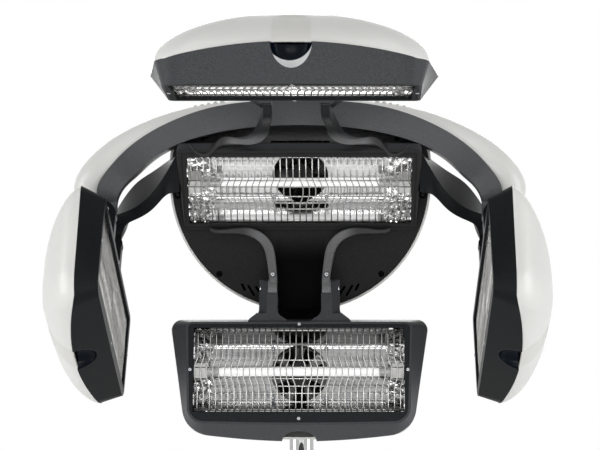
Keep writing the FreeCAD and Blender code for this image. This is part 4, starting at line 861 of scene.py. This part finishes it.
def control_screws():
    centre = HOUSING_ORIGIN + Vector((0, COVER_BACK + CONTROL_THICK, CONTROL_RISE))
    places = [facing(centre + Vector((x * CONTROL_HALF[0], 0, z * CONTROL_HALF[1])), (0, 1, 0))
              for x in SIDES for z in SIDES]
    screws("control_screws", "housing", places, *CONTROL_SCREW, BLACK_STEEL)


# --------------------------------------------------------------------------- grilles

# Cross wires, from the lamp's line, and the turns of an upright's bow: place and share of the bow.
CROSS_WIRES = (-0.013, -0.0035, 0.0115, 0.0215, 0.031)
CROSS_MARGIN = 0.003
BOW_TURNS = ((-0.016, 0), (-0.006, 1), (0.010, 1), (0.022, 0))


def grille_piece(name):
    """Round wires: uprights that bow past the lamp, on cross wires behind them."""
    size = opening(name)
    lamp = middle(name)
    front = BEZEL_THICK + WIRE_RADIUS
    low = size["start"] - WIRE_TAIL
    high = size["start"] + size["high"] + WIRE_TAIL
    pitch = WIRE_PITCH["rear" if name == "rear" else "head"]
    count = int(2 * size["half"] / pitch)
    parts = []
    for i in range(count):
        across = (i - (count - 1) / 2) * pitch
        bow = math.copysign(WIRE_BOW, across)
        corners = [Vector((across, low, front))]
        corners += [Vector((across + bow * share, lamp + offset, front))
                    for offset, share in BOW_TURNS]
        corners.append(Vector((across, high, front)))
        parts.append(swept(smooth_run(corners), WIRE_RADIUS))
    reach = size["half"] + WIRE_TAIL
    rows = [size["start"] + CROSS_MARGIN, size["start"] + size["high"] - CROSS_MARGIN]
    rows += [lamp + offset for offset in CROSS_WIRES]
    behind = front + 2 * WIRE_RADIUS
    for y in rows:
        parts.append(swept([Vector((-reach, y, behind)), Vector((reach, y, behind))], WIRE_RADIUS))
    points, faces = merge(parts)
    made = piece(f"{name}_grille_wires", points, faces, LOOKS["grille_wire"], body_name(name),
                 PLACES[name])
    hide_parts(f"{name}_grille")


for heater in HEATERS:
    grille_piece(heater)
    fan_nuts(heater)
for head in HEADS:
    bezel_screws(head)
panel_screws()
side_plugs()
stem_slot()
bracket_screws()
control_screws()

# --------------------------------------------------------------------------- stage

# Height of the floor, half its width and its grey.
FLOOR = -0.9
BACKDROP = 12.0
FLOOR_GREY = 0.85
# Round the object the floor shows its shadow; beyond that it fades into the white backdrop.
SHADOW_REACH = (0.9, 2.4)
SHADOW_KEPT = 0.65
AMBIENT = 0.3
# The softboxes point at this place.
CENTRE = (0, -0.15, 0.3)
# name: place, width and height in metres, power in watts
SOFTBOXES = {
    "softbox_top": ((0, -1.7, 2.0), (2.2, 1.2), 10),
    "softbox_front": ((0, -2.8, 0.45), (1.6, 0.5), 10),
    "softbox_left": ((-2.3, -0.8, 0.4), (1.2, 2.0), 24),
    "softbox_right": ((2.3, -0.8, 0.4), (1.2, 2.0), 24),
    "softbox_low": ((0, -2.1, -0.6), (1.8, 0.7), 6),
    "striplight_low": ((0, -2.0, -0.75), (0.8, 0.08), 5),
    "softbox_back": ((0, 2.6, 1.1), (2.0, 1.4), 20),
}


def stage_world():
    """Soft ambient light; the camera and mirror reflections see plain white."""
    world = bpy.data.worlds.new("studio")
    bpy.context.scene.world = world
    world.use_nodes = True
    sky = world.node_tree
    ambient = sky.nodes["Background"]
    ambient.inputs["Color"].default_value = (1, 1, 1, 1)
    ambient.inputs["Strength"].default_value = AMBIENT
    white = sky.nodes.new("ShaderNodeBackground")
    white.inputs["Color"].default_value = (1, 1, 1, 1)
    white.inputs["Strength"].default_value = 1.0
    mix = sky.nodes.new("ShaderNodeMixShader")
    sky.links.new(direct_ray(sky), mix.inputs[0])
    sky.links.new(ambient.outputs[0], mix.inputs[1])
    sky.links.new(white.outputs[0], mix.inputs[2])
    sky.links.new(mix.outputs[0], sky.nodes["World Output"].inputs["Surface"])


def direct_ray(tree):
    """1 for camera, transmission and mirror rays, 0 for the rest."""
    path = tree.nodes.new("ShaderNodeLightPath")
    result = path.outputs["Is Camera Ray"]
    for kind in ("Is Transmission Ray", "Is Glossy Ray"):
        larger = tree.nodes.new("ShaderNodeMath")
        larger.operation = "MAXIMUM"
        tree.links.new(result, larger.inputs[0])
        tree.links.new(path.outputs[kind], larger.inputs[1])
        result = larger.outputs[0]
    return result


def stage_floor():
    material = bpy.data.materials.new("stage_white")
    material.use_nodes = True
    tree = material.node_tree
    shader = tree.nodes["Principled BSDF"]
    shader.inputs["Base Color"].default_value = (FLOOR_GREY, FLOOR_GREY, FLOOR_GREY, 1)
    shader.inputs["Roughness"].default_value = 0.9
    glow = tree.nodes.new("ShaderNodeEmission")
    place = tree.nodes.new("ShaderNodeTexCoord")
    reach = tree.nodes.new("ShaderNodeVectorMath")
    reach.operation = "LENGTH"
    fade = tree.nodes.new("ShaderNodeMapRange")
    fade.interpolation_type = "SMOOTHSTEP"
    fade.inputs["From Min"].default_value, fade.inputs["From Max"].default_value = SHADOW_REACH
    fade.inputs["To Min"].default_value = 1 - SHADOW_KEPT
    tree.links.new(place.outputs["Object"], reach.inputs[0])
    tree.links.new(reach.outputs["Value"], fade.inputs["Value"])
    share = tree.nodes.new("ShaderNodeMath")
    share.operation = "MULTIPLY"
    tree.links.new(direct_ray(tree), share.inputs[0])
    tree.links.new(fade.outputs["Result"], share.inputs[1])
    mix = tree.nodes.new("ShaderNodeMixShader")
    tree.links.new(share.outputs[0], mix.inputs[0])
    tree.links.new(shader.outputs[0], mix.inputs[1])
    tree.links.new(glow.outputs[0], mix.inputs[2])
    tree.links.new(mix.outputs[0], tree.nodes["Material Output"].inputs["Surface"])
    mesh = bpy.data.meshes.new("studio_floor")
    size = BACKDROP
    mesh.from_pydata([(-size, -size, FLOOR), (size, -size, FLOOR), (size, size, FLOOR),
                      (-size, size, FLOOR)], [], [[0, 1, 2, 3]])
    mesh.materials.append(material)
    made = bpy.data.objects.new("studio_floor", mesh)
    bpy.context.scene.collection.objects.link(made)


def softbox(name, place, size, power):
    lamp = bpy.data.lights.new(name, "AREA")
    lamp.shape = "RECTANGLE"
    lamp.size, lamp.size_y = size
    lamp.energy = power
    made = bpy.data.objects.new(name, lamp)
    made.location = place
    made.rotation_euler = (Vector(CENTRE) - Vector(place)).to_track_quat("-Z", "Y").to_euler()
    bpy.context.scene.collection.objects.link(made)


stage_world()
stage_floor()
for name, (place, size, power) in SOFTBOXES.items():
    softbox(name, place, size, power)

# The camera is level, 2.2 m in front of the housing's own frame. Its focal length and its shift
# are in pixels of a frame that is 600 pixels wide.
FRAME_WIDE = 600
FOCAL_PX = 1641.8
PRINCIPAL_OFF = -40.7
SENSOR = 36
CAMERA_PLACE = (0.055, -2.31, 0.325)
camera_data = bpy.data.cameras.new("camera")
camera_data.sensor_width = SENSOR
camera_data.lens = SENSOR * FOCAL_PX / FRAME_WIDE
camera_data.shift_x = PRINCIPAL_OFF / FRAME_WIDE
camera = bpy.data.objects.new("camera", camera_data)
camera.location = CAMERA_PLACE
camera.rotation_euler = (math.pi / 2, 0, 0)
bpy.context.scene.collection.objects.link(camera)
bpy.context.scene.camera = camera
bpy.context.scene.view_settings.view_transform = "Standard"
